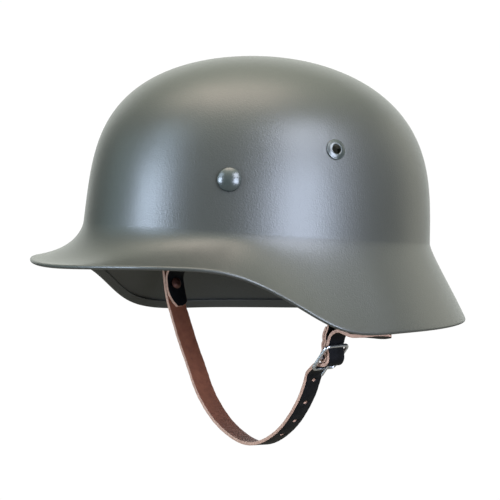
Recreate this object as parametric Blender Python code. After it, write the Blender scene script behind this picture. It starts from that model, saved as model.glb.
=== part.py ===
"""Steel combat helmet with a leather chin strap, held up as a head holds it.

The front faces -Y and the wearer's left is +X. The origin is the centre of the shell's waist, the
level at brow height where the dome meets the flare. The shell is modelled with its waist level and
then pitched, so that it sits as it is worn. The strap hangs plumb from two hangers inside the shell.
"""

import math

import bmesh
import bpy
import numpy as np
from mathutils import Matrix, Vector

# Waist: the plan outline where the dome meets the flare, measured on the outside.
WAIST_FRONT = 0.1171
WAIST_BACK = 0.1124
WAIST_SIDE = 0.0960
WAIST_POWER = 2.05

# Dome, with its fullness (a power) and its lean inwards, at the front, the side and the back.
DOME_HEIGHT = 0.1119
DOME_FULLNESS = (3.55, 3.85, 3.10)
DOME_LEAN = (0.056, 0.043, 0.051)

# Flare: its reach and drop at the rim, its slope there, and how straight it leaves both ends.
RIM_DROP = 0.0565
RIM_REACH = 0.0330
RIM_SLOPE = (math.radians(0), math.radians(60), math.radians(59))
WAIST_PULL = (0.27, 0.145, 0.09)
RIM_PULL = (0.40, 0.387, 0.343)
# Turn from the front in degrees, drop as a share of RIM_DROP, reach as a share of RIM_REACH.
RIM_TABLE = (
    (0, 0.510, 1.000),
    (20, 0.475, 0.975),
    (38, 0.440, 0.950),
    (50, 0.461, 0.832),
    (60, 0.580, 0.749),
    (70, 0.763, 0.839),
    (80, 0.944, 0.940),
    (90, 1.003, 0.894),
    (102, 0.979, 0.826),
    (118, 0.940, 0.742),
    (138, 0.893, 0.718),
    (160, 0.841, 0.826),
    (180, 0.815, 0.900),
)

# Sheet steel, and its edge, which is turned inwards and back up as a flange.
SHELL_WALL = 0.0012
RIM_THICKNESS = 0.0026
RIM_FLANGE = 0.0050
SHELL_PITCH = math.radians(4.54)

# Split pins: turn from the front, height over the waist, and the pin's own sizes.
PIN_TURN = math.radians(46.2)
PIN_HEIGHT = 0.0302
PIN_HEAD_RADIUS = 0.0073
PIN_HEAD_BALL = 0.0112
PIN_HEAD_EDGE = 0.0013
PIN_HEAD_SKIRT = 0.0003
PIN_SHANK_RADIUS = 0.0021
PIN_PRONG_LENGTH = 0.0120
PIN_PRONG_WIDTH = 0.0032
PIN_PRONG_THICKNESS = 0.0010
PIN_PRONG_LIFT = math.radians(12)

# Vents: turn from the front, height over the waist, and the bushing's own sizes.
VENT_TURN = math.radians(85.1)
VENT_HEIGHT = 0.0530
VENT_BORE_RADIUS = 0.0029
VENT_BARREL_WALL = 0.0010
VENT_FLANGE_RADIUS = 0.0064
VENT_FLANGE_RISE = 0.0013
VENT_CLINCH_RADIUS = 0.0058

# Strap hangers: the place of the bar that carries the strap, in the shell's own level frame, with
# its inset from the waist's outside.
HANGER_INSET = 0.0060
HANGER_SPAN = WAIST_SIDE - HANGER_INSET
HANGER_FORWARD = 0.0051
HANGER_DROP = 0.0215
HANGER_WIRE_RADIUS = 0.0015
HANGER_INNER_WIDTH = 0.0270
HANGER_CORNER = 0.0035
HANGER_PAD_BOTTOM = 0.0010
HANGER_PAD_HEIGHT = 0.0110
HANGER_PAD_THICKNESS = 0.0020
HANGER_PAD_MARGIN = 0.0030

# Strap leather, and the loop that it hangs in below the hangers.
STRAP_WIDTH = 0.0140
STRAP_THICKNESS = 0.0022
SHORT_STRAP_THICKNESS = 0.0015
LOOP_DEPTH = 0.1350
STRAP_SLIDE = 0.0052
FOLD_PLAY = 0.0022
TAB_LENGTH = 0.0335
TAB_MERGE = 0.0125
TAB_TIP = (0.0130, 0.0040)
SHORT_TAB_LENGTH = 0.0230
SEAM_START = 0.0060
SEAM_LENGTH = 0.0210
FREE_END = 0.0400
FREE_TIP = (0.0080, 0.0080)
TIP_BLUNTNESS = 0.30
# Place along the span as a share of HANGER_SPAN, drop as a share of LOOP_DEPTH, turn of the
# strap's width from +X in degrees, and its roll about its own length in degrees.
LOOP_TABLE = (
    (-1.035, 0.250, 98, 0),
    (-0.985, 0.365, 96, 0),
    (-0.925, 0.445, 95, 0),
    (-0.800, 0.588, 94, 0),
    (-0.700, 0.690, 94, 0),
    (-0.600, 0.790, 94, 0),
    (-0.480, 0.869, 95, 1),
    (-0.330, 0.935, 95, 2),
    (-0.160, 0.980, 96, 3),
    (0.020, 1.000, 97, 3),
    (0.200, 0.978, 98, 1),
    (0.365, 0.925, 100, -1),
    (0.500, 0.857, 102, -1),
    (0.612, 0.775, 104, 0),
    (0.695, 0.690, 105, 0),
    (0.745, 0.625, 104, 0),
)
# The same four columns for the short strap, between its hanger and the buckle.
SHORT_TABLE = (
    (1.030, 0.250, 94, 0),
    (1.005, 0.350, 96, 0),
    (0.972, 0.420, 100, 0),
    (0.953, 0.447, 101, 0),
)
# Shares of FREE_END to the left, to the back and up from where the strap leaves the buckle, then
# the turn and the roll of its width in degrees.
FREE_TABLE = (
    (0.033, 0.007, 0.095, 103, 0),
    (0.115, 0.027, 0.183, 106, 0),
    (0.163, 0.045, 0.205, 112, 0),
    (0.218, 0.072, 0.190, 120, 0),
    (0.288, 0.122, 0.145, 128, 0),
    (0.360, 0.190, 0.128, 135, 3),
    (0.470, 0.310, 0.128, 139, 8),
    (0.573, 0.430, 0.130, 141, 13),
    (0.680, 0.565, 0.133, 142, 16),
)

# Buckle: the centre of its middle bar as shares of the loop, its turn and its lean outwards.
BUCKLE_ALONG = 0.923
BUCKLE_DROP = 0.5425
BUCKLE_TURN = math.radians(102.8)
BUCKLE_LEAN = math.radians(40.3)
BUCKLE_WIDTH = 0.0190
BUCKLE_LENGTH = 0.0190
BUCKLE_WIRE_RADIUS = 0.00105
BUCKLE_CORNER = 0.0028
PRONG_RADIUS = 0.00080
PRONG_OVERHANG = 0.0045
PRONG_SLOT = 0.0028
PRONG_SLOT_MARGIN = 0.0005
PRONG_HOLE_PLAY = 0.0003

# Studs and the strap's adjusting holes.
STUD_PLACE = 0.0158
STUD_HEAD_RADIUS = 0.0038
STUD_HEAD_RISE = 0.0016
STUD_SHANK_RADIUS = 0.0013
HOLE_RADIUS = 0.00125
HOLE_FIRST = 0.0150
HOLE_PITCH = 0.0167
HOLE_COUNT = 4

# Fits. The facets of the mesh stand up to FACET_SAG inside the true curve.
SEAT_GAP = 0.0003
BORE_PLAY = 0.0003
WEAVE_PLAY = 0.0002
FACET_SAG = 0.00014
VENT_SEAT = 0.00055
STUD_PLAY = 0.00045
HANGER_PLAY = 0.0004
CUTTER_REACH = 0.0060

# Mesh fineness.
SHELL_COLUMNS = 60
DOME_ROWS = 12
FLARE_ROWS = 9
EDGE_ROWS = 4
INNER_FLARE_ROWS = 6
INNER_DOME_ROWS = 9
ROUND_SIDES = 20
WIRE_SIDES = 8
STRAP_STEP = 0.0042
FOLD_STEP = 0.0015

FULL_TURN = 2 * math.pi
BOX_FACES = [(0, 1, 2, 3), (7, 6, 5, 4), (0, 4, 5, 1), (1, 5, 6, 2), (2, 6, 7, 3), (3, 7, 4, 0)]


def clear_scene():
    for thing in list(bpy.data.objects):
        bpy.data.objects.remove(thing, do_unlink=True)


def material(name, colour, metallic, roughness):
    made = bpy.data.materials.new(name)
    made.use_nodes = True
    shader = made.node_tree.nodes["Principled BSDF"]
    shader.inputs["Base Color"].default_value = (*colour, 1)
    shader.inputs["Metallic"].default_value = metallic
    shader.inputs["Roughness"].default_value = roughness
    return made


def make_object(name, points, faces, finish=None, parent=None):
    mesh = bpy.data.meshes.new(name)
    mesh.from_pydata([tuple(point) for point in points], [], faces)
    tidy = bmesh.new()
    tidy.from_mesh(mesh)
    bmesh.ops.triangulate(tidy, faces=tidy.faces)
    bmesh.ops.recalc_face_normals(tidy, faces=tidy.faces)
    tidy.to_mesh(mesh)
    tidy.free()
    mesh.shade_smooth()
    mesh.set_sharp_from_angle(angle=math.radians(40))
    thing = bpy.data.objects.new(name, mesh)
    bpy.context.scene.collection.objects.link(thing)
    thing.parent = parent
    if finish:
        mesh.materials.append(finish)
    return thing


def boolean(target, other, operation):
    other.hide_render = True
    other.display_type = "WIRE"
    step = target.modifiers.new(other.name, "BOOLEAN")
    step.operation = operation
    step.object = other
    step.solver = "EXACT"


def round_rows(count, start, end):
    """Angles from start to end, both left out."""
    return [start + (end - start) * (row + 1) / (count + 1) for row in range(count)]


def blend(sides, turn):
    """A value that runs smoothly from the front over the side to the back."""
    front, side, back = sides
    facing = np.cos(turn)
    return side + (front - back) / 2 * facing + ((front + back) / 2 - side) * facing**2


def second_derivatives(places, values, periodic):
    """Curvatures of the cubic spline through the values, for each of their columns."""
    steps = np.diff(places)
    count = len(places) - 1 if periodic else len(places)
    matrix = np.zeros((count, count))
    rates = np.zeros((count, values.shape[1]))
    slopes = np.diff(values, axis=0) / steps[:, None]
    for row in range(count):
        if not periodic and row in (0, count - 1):
            matrix[row, row] = 1
            continue
        before = steps[row - 1]
        after = steps[row]
        matrix[row, (row - 1) % count] += before
        matrix[row, row] += 2 * (before + after)
        matrix[row, (row + 1) % count] += after
        rates[row] = 6 * (slopes[row] - slopes[row - 1])
    bends = np.linalg.solve(matrix, rates)
    return np.vstack([bends, bends[:1]]) if periodic else bends


def spline(places, values, wanted, periodic=False):
    """Values at the wanted places on the cubic spline through the given ones."""
    places = np.asarray(places, float)
    values = np.asarray(values, float)
    bends = second_derivatives(places, values, periodic)
    span = np.clip(np.searchsorted(places, wanted, side="right") - 1, 0, len(places) - 2)
    width = (places[span + 1] - places[span])[:, None]
    ahead = (np.asarray(wanted) - places[span])[:, None] / width
    behind = 1 - ahead
    straight = behind * values[span] + ahead * values[span + 1]
    curved = (behind**3 - behind) * bends[span] + (ahead**3 - ahead) * bends[span + 1]
    return straight + curved * width**2 / 6


def rim_values(turn):
    """Drop and reach of the rim at each turn from the front, the same on both sides."""
    table = np.array(RIM_TABLE)
    places = np.concatenate([-table[:0:-1, 0], table[:, 0]])
    values = np.vstack([table[:0:-1, 1:], table[:, 1:]])
    wanted = (np.degrees(turn) + 180) % 360 - 180
    shares = spline(places, values, wanted, periodic=True)
    return shares[:, 0] * RIM_DROP, shares[:, 1] * RIM_REACH


def waist_radius(turn):
    middle = (WAIST_FRONT + WAIST_BACK) / 2
    length = middle + (WAIST_FRONT - WAIST_BACK) / 2 * np.cos(turn)
    lengthwise = np.abs(np.cos(turn) / length) ** WAIST_POWER
    sideways = np.abs(np.sin(turn) / WAIST_SIDE) ** WAIST_POWER
    return (lengthwise + sideways) ** (-1 / WAIST_POWER)


def dome_profile(turn, share):
    """Radius and height of the outside, from the crown at share 0 to the waist at share 1."""
    height = DOME_HEIGHT * np.cos(share * math.pi / 2) * np.ones_like(turn)
    leaning = waist_radius(turn) - blend(DOME_LEAN, turn) * height
    closing = 1 - (height / DOME_HEIGHT) ** blend(DOME_FULLNESS, turn)
    return leaning * np.sqrt(np.clip(closing, 0, 1)), height


def flare_profile(turn, share):
    """Radius and height of the outside, from the waist at share 0 to the rolled edge at share 1."""
    drop, reach = rim_values(turn)
    slope = blend(RIM_SLOPE, turn)
    length = np.hypot(drop, reach)
    along = np.array([np.cos(slope), -np.sin(slope)])
    out = np.array([np.sin(slope), np.cos(slope)])
    half = RIM_THICKNESS / 2
    start = np.zeros_like(along)
    leave = length * blend(WAIST_PULL, turn) * np.array([blend(DOME_LEAN, turn), -np.ones_like(turn)])
    end = np.array([reach, -drop]) + half * (out - along)
    arrive = end - length * blend(RIM_PULL, turn) * along
    rest = 1 - share
    place = rest**3 * start + 3 * rest**2 * share * leave + 3 * rest * share**2 * arrive + share**3 * end
    return waist_radius(turn) + place[0], place[1]


def outside(turn, share):
    """Radius and height of the outside: the dome for shares 0 to 1, the flare for 1 to 2."""
    if share <= 1:
        return dome_profile(turn, share)
    return flare_profile(turn, share - 1)


def profile_normal(turn, share):
    """Direction out of the shell in the upright plane through the axis, as radius and height."""
    step = 0.0005
    if share <= 0:
        return np.zeros_like(turn), np.ones_like(turn)
    before = outside(turn, min(share, 2 - step) - step)
    after = outside(turn, min(share + step, 2))
    along = np.array([after[0] - before[0], after[1] - before[1]])
    along /= np.hypot(*along)
    return -along[1], along[0]


def sunk(turn, share, depth):
    """Radius and height at a depth below the outside."""
    radius, height = outside(turn, share)
    across, upwards = profile_normal(turn, share)
    return radius - depth * across, height - depth * upwards


def edge_row(turn, angle):
    """Radius and height on the rolled edge, from the outside at angle 0 to the flange at pi."""
    half = RIM_THICKNESS / 2
    across, upwards = profile_normal(turn, 2)
    radius, height = outside(turn, 2)
    out = math.cos(angle) - 1
    along = math.sin(angle)
    return (
        radius + half * (out * across + along * upwards),
        height + half * (out * upwards - along * across),
    )


def flange_share(turn):
    """Share of the profile where the turned-in flange ends, a row of one value for each turn."""
    drop, reach = rim_values(turn)
    speed = 3 * np.hypot(drop, reach) * blend(RIM_PULL, turn)
    return 2 - RIM_FLANGE / speed


def sunk_each(turn, shares, depth):
    rows = [sunk(turn[[k]], shares[k], depth) for k in range(len(turn))]
    return np.array([row[0][0] for row in rows]), np.array([row[1][0] for row in rows])


def shell_rows(turn):
    """Rows of (radius, height) from the crown outside, round the rim, to the crown inside."""
    rows = [outside(turn, (row + 1) / DOME_ROWS) for row in range(DOME_ROWS)]
    rows += [outside(turn, 1 + (row + 1) / FLARE_ROWS) for row in range(FLARE_ROWS)]
    rows += [edge_row(turn, angle) for angle in round_rows(EDGE_ROWS - 1, 0, math.pi)]
    top = flange_share(turn)
    rows.append(edge_row(turn, math.pi))
    rows.append(sunk_each(turn, (top + 2) / 2, RIM_THICKNESS))
    rows.append(sunk_each(turn, top, RIM_THICKNESS))
    rows.append(sunk_each(turn, top, SHELL_WALL))
    for row in range(INNER_FLARE_ROWS):
        rows.append(sunk_each(turn, top - (top - 1) * (row + 1) / INNER_FLARE_ROWS, SHELL_WALL))
    for row in range(INNER_DOME_ROWS - 1):
        rows.append(sunk(turn, 1 - (row + 1) / INNER_DOME_ROWS, SHELL_WALL))
    return rows


def around(turn, radius, height):
    return np.stack([radius * np.sin(turn), -radius * np.cos(turn), height], axis=-1)


def band_faces(first, second):
    """Quads between two closed rows of point numbers."""
    count = len(first)
    return [(first[k], first[(k + 1) % count], second[(k + 1) % count], second[k]) for k in range(count)]


def shell_object(finish, parent):
    turn = np.arange(SHELL_COLUMNS) * FULL_TURN / SHELL_COLUMNS
    rows = shell_rows(turn)
    points = [(0, 0, DOME_HEIGHT)]
    for radius, height in rows:
        points.extend(around(turn, radius, height))
    points.append((0, 0, DOME_HEIGHT - SHELL_WALL))
    numbers = [range(1 + row * SHELL_COLUMNS, 1 + (row + 1) * SHELL_COLUMNS) for row in range(len(rows))]
    faces = [(0, numbers[0][k], numbers[0][(k + 1) % SHELL_COLUMNS]) for k in range(SHELL_COLUMNS)]
    for row in range(len(rows) - 1):
        faces += band_faces(numbers[row], numbers[row + 1])
    last = numbers[-1]
    faces += [(len(points) - 1, last[(k + 1) % SHELL_COLUMNS], last[k]) for k in range(SHELL_COLUMNS)]
    return make_object("shell", points, faces, finish, parent)


def dome_share(height):
    return math.acos(height / DOME_HEIGHT) * 2 / math.pi


def outward_matrix(turn, height):
    """Placement on the dome's outside, with local Z straight out and local Y up along the wall."""
    share = dome_share(height)
    angle = np.array([turn])
    step = 0.001
    here = around(angle, *outside(angle, share))[0]
    beside = around(angle + step, *outside(angle + step, share))[0] - here
    below = around(angle, *outside(angle, share + step))[0] - here
    out = Vector(np.cross(below, beside)).normalized()
    side = Vector(beside).normalized()
    up = out.cross(side)
    return Matrix.Translation(Vector(here)) @ Matrix((side, up, out)).transposed().to_4x4()


def turned(name, profile, matrix, finish=None, parent=None, sides=ROUND_SIDES):
    """Solid of revolution about local Z from a list of (radius, height)."""
    points = []
    rows = []
    for radius, height in profile:
        if radius == 0:
            rows.append([len(points)])
            points.append((0, 0, height))
            continue
        rows.append(list(range(len(points), len(points) + sides)))
        for k in range(sides):
            angle = FULL_TURN * k / sides
            points.append((radius * math.cos(angle), radius * math.sin(angle), height))
    faces = []
    pairs = list(zip(rows, rows[1:], strict=False))
    if len(rows[0]) > 1:
        pairs.append((rows[-1], rows[0]))
    for first, second in pairs:
        if len(first) == 1:
            faces += [(first[0], second[k], second[(k + 1) % sides]) for k in range(sides)]
        elif len(second) == 1:
            faces += [(second[0], first[(k + 1) % sides], first[k]) for k in range(sides)]
        else:
            faces += band_faces(first, second)
    thing = make_object(name, points, faces, finish, parent)
    thing.matrix_local = matrix
    return thing


def cap_profile(radius, rise, base, steps):
    """Points of a domed cap from its centre top down to its edge."""
    ball = (radius**2 + rise**2) / (2 * rise)
    widest = math.asin(min(1, radius / ball))
    if rise > radius:
        widest = math.pi - widest
    profile = []
    for step in range(steps + 1):
        angle = widest * step / steps
        profile.append((ball * math.sin(angle), base + rise - ball * (1 - math.cos(angle))))
    return profile


def head_profile(radius, ball, edge, base, skirt, steps=4):
    """Points of a pin's head from its centre top: part of a ball, a rounded edge and a low skirt."""
    meet = math.asin((radius - edge) / (ball - edge))
    centre = base + skirt - (ball - edge) * math.cos(meet)
    profile = []
    for step in range(steps + 1):
        angle = meet * step / steps
        profile.append((ball * math.sin(angle), centre + ball * math.cos(angle)))
    for step in range(1, steps // 2 + 1):
        angle = meet + (math.pi / 2 - meet) * step / (steps // 2)
        profile.append((radius - edge + edge * math.sin(angle), base + skirt + edge * math.cos(angle)))
    return profile + [(radius, base)]


def shell_cutter(name, turn, height, radius, shell, parent):
    profile = [(0, CUTTER_REACH), (radius, CUTTER_REACH), (radius, -CUTTER_REACH), (0, -CUTTER_REACH)]
    cutter = turned(name, profile, outward_matrix(turn, height), parent=parent)
    boolean(shell, cutter, "DIFFERENCE")


def pin_prong(name, side, depth, matrix, parent):
    """One leaf of a split pin, bent over inside and lifted a little off the wall."""
    length = PIN_PRONG_LENGTH
    lift = length * math.tan(PIN_PRONG_LIFT)
    low = depth - PIN_PRONG_THICKNESS
    half = PIN_PRONG_WIDTH / 2
    root = -PIN_SHANK_RADIUS / 2 * side
    points = []
    for across in (-half, half):
        points += [(across, root, depth), (across, length * side, depth - lift)]
        points += [(across, length * side, low - lift), (across, root, low)]
    leaf = make_object(name, points, BOX_FACES, parent=parent)
    leaf.matrix_local = matrix
    return leaf


def split_pin(name, turn, shell, finish, parent):
    """Domed pin whose shank passes through the shell and spreads into two prongs inside."""
    matrix = outward_matrix(turn, PIN_HEIGHT)
    inside = -SHELL_WALL - SEAT_GAP
    shank_end = inside - PIN_PRONG_THICKNESS * 2
    profile = head_profile(PIN_HEAD_RADIUS, PIN_HEAD_BALL, PIN_HEAD_EDGE, SEAT_GAP, PIN_HEAD_SKIRT)
    profile += [(PIN_SHANK_RADIUS, SEAT_GAP), (PIN_SHANK_RADIUS, shank_end), (0, shank_end)]
    pin = turned(name, profile, matrix, finish, parent)
    for label, side in (("up", 1), ("down", -1)):
        leaf = pin_prong(f"{name}_{label}", side, inside - SEAT_GAP, matrix, parent)
        boolean(pin, leaf, "UNION")
    shell_cutter(f"{name}_hole", turn, PIN_HEIGHT, PIN_SHANK_RADIUS + BORE_PLAY, shell, parent)


def vent_bushing(name, turn, shell, finish, parent):
    """Eyelet with a rounded flange outside and a clinched one inside."""
    barrel = VENT_BORE_RADIUS + VENT_BARREL_WALL
    inside = -SHELL_WALL - SEAT_GAP - VENT_SEAT
    rise = VENT_FLANGE_RISE
    crest = (VENT_BORE_RADIUS + VENT_FLANGE_RADIUS) / 2
    profile = [
        (VENT_BORE_RADIUS, inside - rise * 0.5),
        (VENT_BORE_RADIUS, SEAT_GAP + rise * 0.45),
        (VENT_BORE_RADIUS * 1.12, SEAT_GAP + rise * 0.85),
        (crest, SEAT_GAP + rise),
        (VENT_FLANGE_RADIUS * 0.90, SEAT_GAP + rise * 0.80),
        (VENT_FLANGE_RADIUS, SEAT_GAP + rise * 0.35),
        (VENT_FLANGE_RADIUS, SEAT_GAP),
        (barrel, SEAT_GAP),
        (barrel, inside),
        (VENT_CLINCH_RADIUS, inside),
        (VENT_CLINCH_RADIUS, inside - rise * 0.4),
        (crest, inside - rise * 0.8),
    ]
    turned(name, profile, outward_matrix(turn, VENT_HEIGHT), finish, parent)
    shell_cutter(f"{name}_hole", turn, VENT_HEIGHT, barrel + BORE_PLAY, shell, parent)


def frames_along(path, widths):
    """Tangent, width and face directions at each point of a path."""
    tangents = np.gradient(path, axis=0)
    tangents /= np.linalg.norm(tangents, axis=1)[:, None]
    across = widths - tangents * np.sum(widths * tangents, axis=1)[:, None]
    across /= np.linalg.norm(across, axis=1)[:, None]
    return tangents, across, np.cross(tangents, across)


def tube(name, path, radius, widths, finish=None, parent=None, sides=WIRE_SIDES, closed=False):
    """Round wire along a path of points."""
    path = np.asarray(path, float)
    widths = np.broadcast_to(widths, path.shape)
    if closed:
        ring = np.vstack([path[-1:], path, path[:1]])
        frames = frames_along(ring, np.vstack([widths[-1:], widths, widths[:1]]))
        across, out = frames[1][1:-1], frames[2][1:-1]
    else:
        across, out = frames_along(path, widths)[1:]
    angles = np.arange(sides) * FULL_TURN / sides
    spokes = np.cos(angles)[None, :, None] * across[:, None] + np.sin(angles)[None, :, None] * out[:, None]
    points = (path[:, None] + radius * spokes).reshape(-1, 3)
    rings = [range(k * sides, (k + 1) * sides) for k in range(len(path))]
    faces = []
    for k in range(len(path) if closed else len(path) - 1):
        faces += band_faces(rings[k], rings[(k + 1) % len(path)])
    if not closed:
        faces += [tuple(rings[0])[::-1], tuple(rings[-1])]
    return make_object(name, points, faces, finish, parent)


def rounded_corners(corners, radius, closed, steps=4):
    """Path through corner points with each corner rounded by an arc."""
    corners = [Vector(corner) for corner in corners]
    count = len(corners)
    path = []
    for k, corner in enumerate(corners):
        if not closed and k in (0, count - 1):
            path.append(corner)
            continue
        before = (corners[k - 1] - corner).normalized()
        after = (corners[(k + 1) % count] - corner).normalized()
        half = before.angle(after) / 2
        centre = corner + (before + after).normalized() * radius / math.sin(half)
        start = corner + before * radius / math.tan(half) - centre
        end = corner + after * radius / math.tan(half) - centre
        for step in range(steps + 1):
            path.append(centre + start.slerp(end, step / steps).normalized() * radius)
    return np.array([tuple(point) for point in path])


def hanger(name, side, finish, parent):
    """Pad that lies against the inner wall, with a wire loop that carries the strap."""
    pad_half = HANGER_INNER_WIDTH / 2 + HANGER_WIRE_RADIUS + HANGER_PAD_MARGIN
    middle = math.atan2(HANGER_SPAN, HANGER_FORWARD)
    spread = pad_half / WAIST_SIDE
    turns = np.linspace(middle - spread, middle + spread, 9)
    shares = [dome_share(HANGER_PAD_BOTTOM + HANGER_PAD_HEIGHT * row / 3) for row in range(4)]
    near = SHELL_WALL + SEAT_GAP + FACET_SAG
    points = []
    for depth in (near, near + HANGER_PAD_THICKNESS):
        for share in shares:
            points.extend(around(turns, *sunk(turns, share, depth)))
    points = np.array(points) * (side, 1, 1)
    columns = len(turns)
    layer = columns * len(shares)
    faces = []
    for row in range(len(shares) - 1):
        for k in range(columns - 1):
            here = row * columns + k
            quad = (here, here + 1, here + 1 + columns, here + columns)
            faces += [quad, tuple(number + layer for number in reversed(quad))]
    border = list(range(columns)) + [columns * (row + 1) - 1 for row in range(1, len(shares) - 1)]
    border += list(range(layer - 1, layer - columns - 1, -1))
    border += [columns * row for row in range(len(shares) - 2, 0, -1)]
    faces += [
        (border[k], border[(k + 1) % len(border)], border[(k + 1) % len(border)] + layer, border[k] + layer)
        for k in range(len(border))
    ]
    pad = make_object(name, points, faces, finish, parent)
    wall = np.abs(points[:columns, 0]).min()
    leg = (wall - HANGER_PAD_THICKNESS + HANGER_WIRE_RADIUS * 0.3) * side
    half = HANGER_INNER_WIDTH / 2 + HANGER_WIRE_RADIUS
    top = HANGER_PAD_BOTTOM + HANGER_PAD_HEIGHT / 2
    bar = HANGER_SPAN * side
    corners = [
        (leg, -HANGER_FORWARD - half, top),
        (bar, -HANGER_FORWARD - half, -HANGER_DROP),
        (bar, -HANGER_FORWARD + half, -HANGER_DROP),
        (leg, -HANGER_FORWARD + half, top),
    ]
    path = rounded_corners(corners, HANGER_CORNER, closed=False)
    wire = tube(f"{name}_wire", path, HANGER_WIRE_RADIUS, (side, 0.0, 0.0), parent=parent)
    boolean(pad, wire, "UNION")


def pitched(point):
    """World place of a point given in the shell's own level frame."""
    return np.array(Matrix.Rotation(-SHELL_PITCH, 3, "X") @ Vector(point))


def hanger_bar(side):
    return pitched((HANGER_SPAN * side, -HANGER_FORWARD, -HANGER_DROP))


def loop_place(along, drop):
    """World place on the strap's hanging plane, which turns a little as the strap slides on its bars."""
    return np.array([along, hanger_bar(1)[1] + STRAP_SLIDE * along / HANGER_SPAN, -drop])


def width_direction(turn, roll):
    turn = math.radians(turn)
    roll = math.radians(roll)
    return np.array([math.cos(turn) * math.cos(roll), math.sin(turn) * math.cos(roll), -math.sin(roll)])


def buckle_axes():
    """Centre of the middle bar, then the directions across the strap, up along it and outwards."""
    centre = loop_place(BUCKLE_ALONG * HANGER_SPAN, BUCKLE_DROP * LOOP_DEPTH)
    across = np.array([math.cos(BUCKLE_TURN), math.sin(BUCKLE_TURN), 0])
    level = np.array([math.sin(BUCKLE_TURN), -math.cos(BUCKLE_TURN), 0])
    upright = np.array([0, 0, 1])
    up = math.cos(BUCKLE_LEAN) * upright + math.sin(BUCKLE_LEAN) * level
    out = math.cos(BUCKLE_LEAN) * level - math.sin(BUCKLE_LEAN) * upright
    return centre, across, up, out


# Offsets of the strap layers from the middle of the buckle's wires.
LAYER_SPACING = STRAP_THICKNESS / 2 + SEAT_GAP + SHORT_STRAP_THICKNESS / 2
BEHIND_BAR = BUCKLE_WIRE_RADIUS + SEAT_GAP + WEAVE_PLAY + STRAP_THICKNESS / 2
SHORT_FOLD = BUCKLE_WIRE_RADIUS + SEAT_GAP + WEAVE_PLAY + SHORT_STRAP_THICKNESS / 2
OVER_FOLD = SHORT_FOLD + LAYER_SPACING
PRONG_OFFSET = BUCKLE_WIRE_RADIUS + SEAT_GAP + PRONG_RADIUS


def in_section(out_offset, up_offset):
    """World place in the buckle's middle section, from the centre of its middle bar."""
    centre, _, up, out = buckle_axes()
    return centre + out * out_offset + up * up_offset


def weave_angle():
    """Angle at which a strap crosses the buckle's plane between two of its bars."""
    return math.asin((OVER_FOLD + BEHIND_BAR) / (BUCKLE_LENGTH / 2))


def behind_end_bar(side, layer, shares):
    """Places behind the top bar (side 1) or the bottom one (side -1), as shares of the bend there."""
    reach = BEHIND_BAR + layer
    places = []
    for share in shares:
        angle = weave_angle() * share
        up = BUCKLE_LENGTH / 2 - reach * math.sin(angle)
        places.append(in_section(-reach * math.cos(angle), side * up))
    return places


def over_middle_bar(layer, shares):
    """Places over the middle bar, from share -1 of the bend below it to share 1 above it."""
    reach = OVER_FOLD - layer
    angles = [weave_angle() * share for share in shares]
    return [in_section(reach * math.cos(angle), reach * math.sin(angle)) for angle in angles]


def hanger_fold(side, slide, thickness):
    """Centre and radius of the loose fold that hangs on a hanger's bar, to the middle of the strap."""
    centre = hanger_bar(side) + pitched((0, slide, 0)) - (0, 0, FOLD_PLAY)
    return centre, HANGER_WIRE_RADIUS + SEAT_GAP + HANGER_PLAY + FOLD_PLAY + thickness / 2


def sampled(points, widths, step, fine_from, fine_to):
    """Samples of the smooth path through the points, finer between two of its points."""
    points = np.array(points)
    lengths = path_lengths(points)
    fine = np.linspace(0, lengths[-1], 40 * len(points))
    both = spline(lengths, np.hstack([points, np.array(widths)]), fine)
    travelled = np.linalg.norm(np.diff(both[:, :3], axis=0), axis=1)
    middles = (fine[1:] + fine[:-1]) / 2
    folded = (middles > lengths[fine_from]) & (middles < lengths[fine_to])
    steps = np.concatenate([[0], np.cumsum(travelled / np.where(folded, FOLD_STEP, step))])
    count = max(2, round(steps[-1]))
    places = np.interp(np.linspace(0, steps[-1], count + 1), steps, fine)
    result = spline(lengths, np.hstack([points, np.array(widths)]), places)
    return result[:, :3], result[:, 3:]


def path_lengths(path):
    """Distance travelled along a path at each of its points."""
    return np.concatenate([[0], np.cumsum(np.linalg.norm(np.diff(path, axis=0), axis=1))])


def smooth_share(value):
    value = min(1.0, max(0.0, value))
    return value * value * (3 - 2 * value)


def folded_tab(path, widths, span, merge, fold, spacing, inward):
    """Layer beside a path over a span of its length.

    It starts two fold radii away from the path and lies on it after the merge length.
    """
    tangents, across, _ = frames_along(path, widths)
    travelled = path_lengths(path)
    normals = np.cross(tangents, across)
    if np.dot(normals[0], inward) < 0:
        normals = -normals
    kept = [k for k in range(1, len(path)) if span[0] <= travelled[k] <= span[1]]
    layer = []
    for k in kept:
        share = smooth_share(travelled[k] / merge)
        layer.append(path[k] + normals[k] * (2 * fold + (spacing - 2 * fold) * share))
    return np.array(layer), across[kept]


def fold_arc(centre, start, top, steps=7):
    """Half turn about a centre, from start over top to the far side, as offsets with both ends left out."""
    return [centre + math.cos(a) * start + math.sin(a) * top for a in round_rows(steps, 0, math.pi)]


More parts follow.
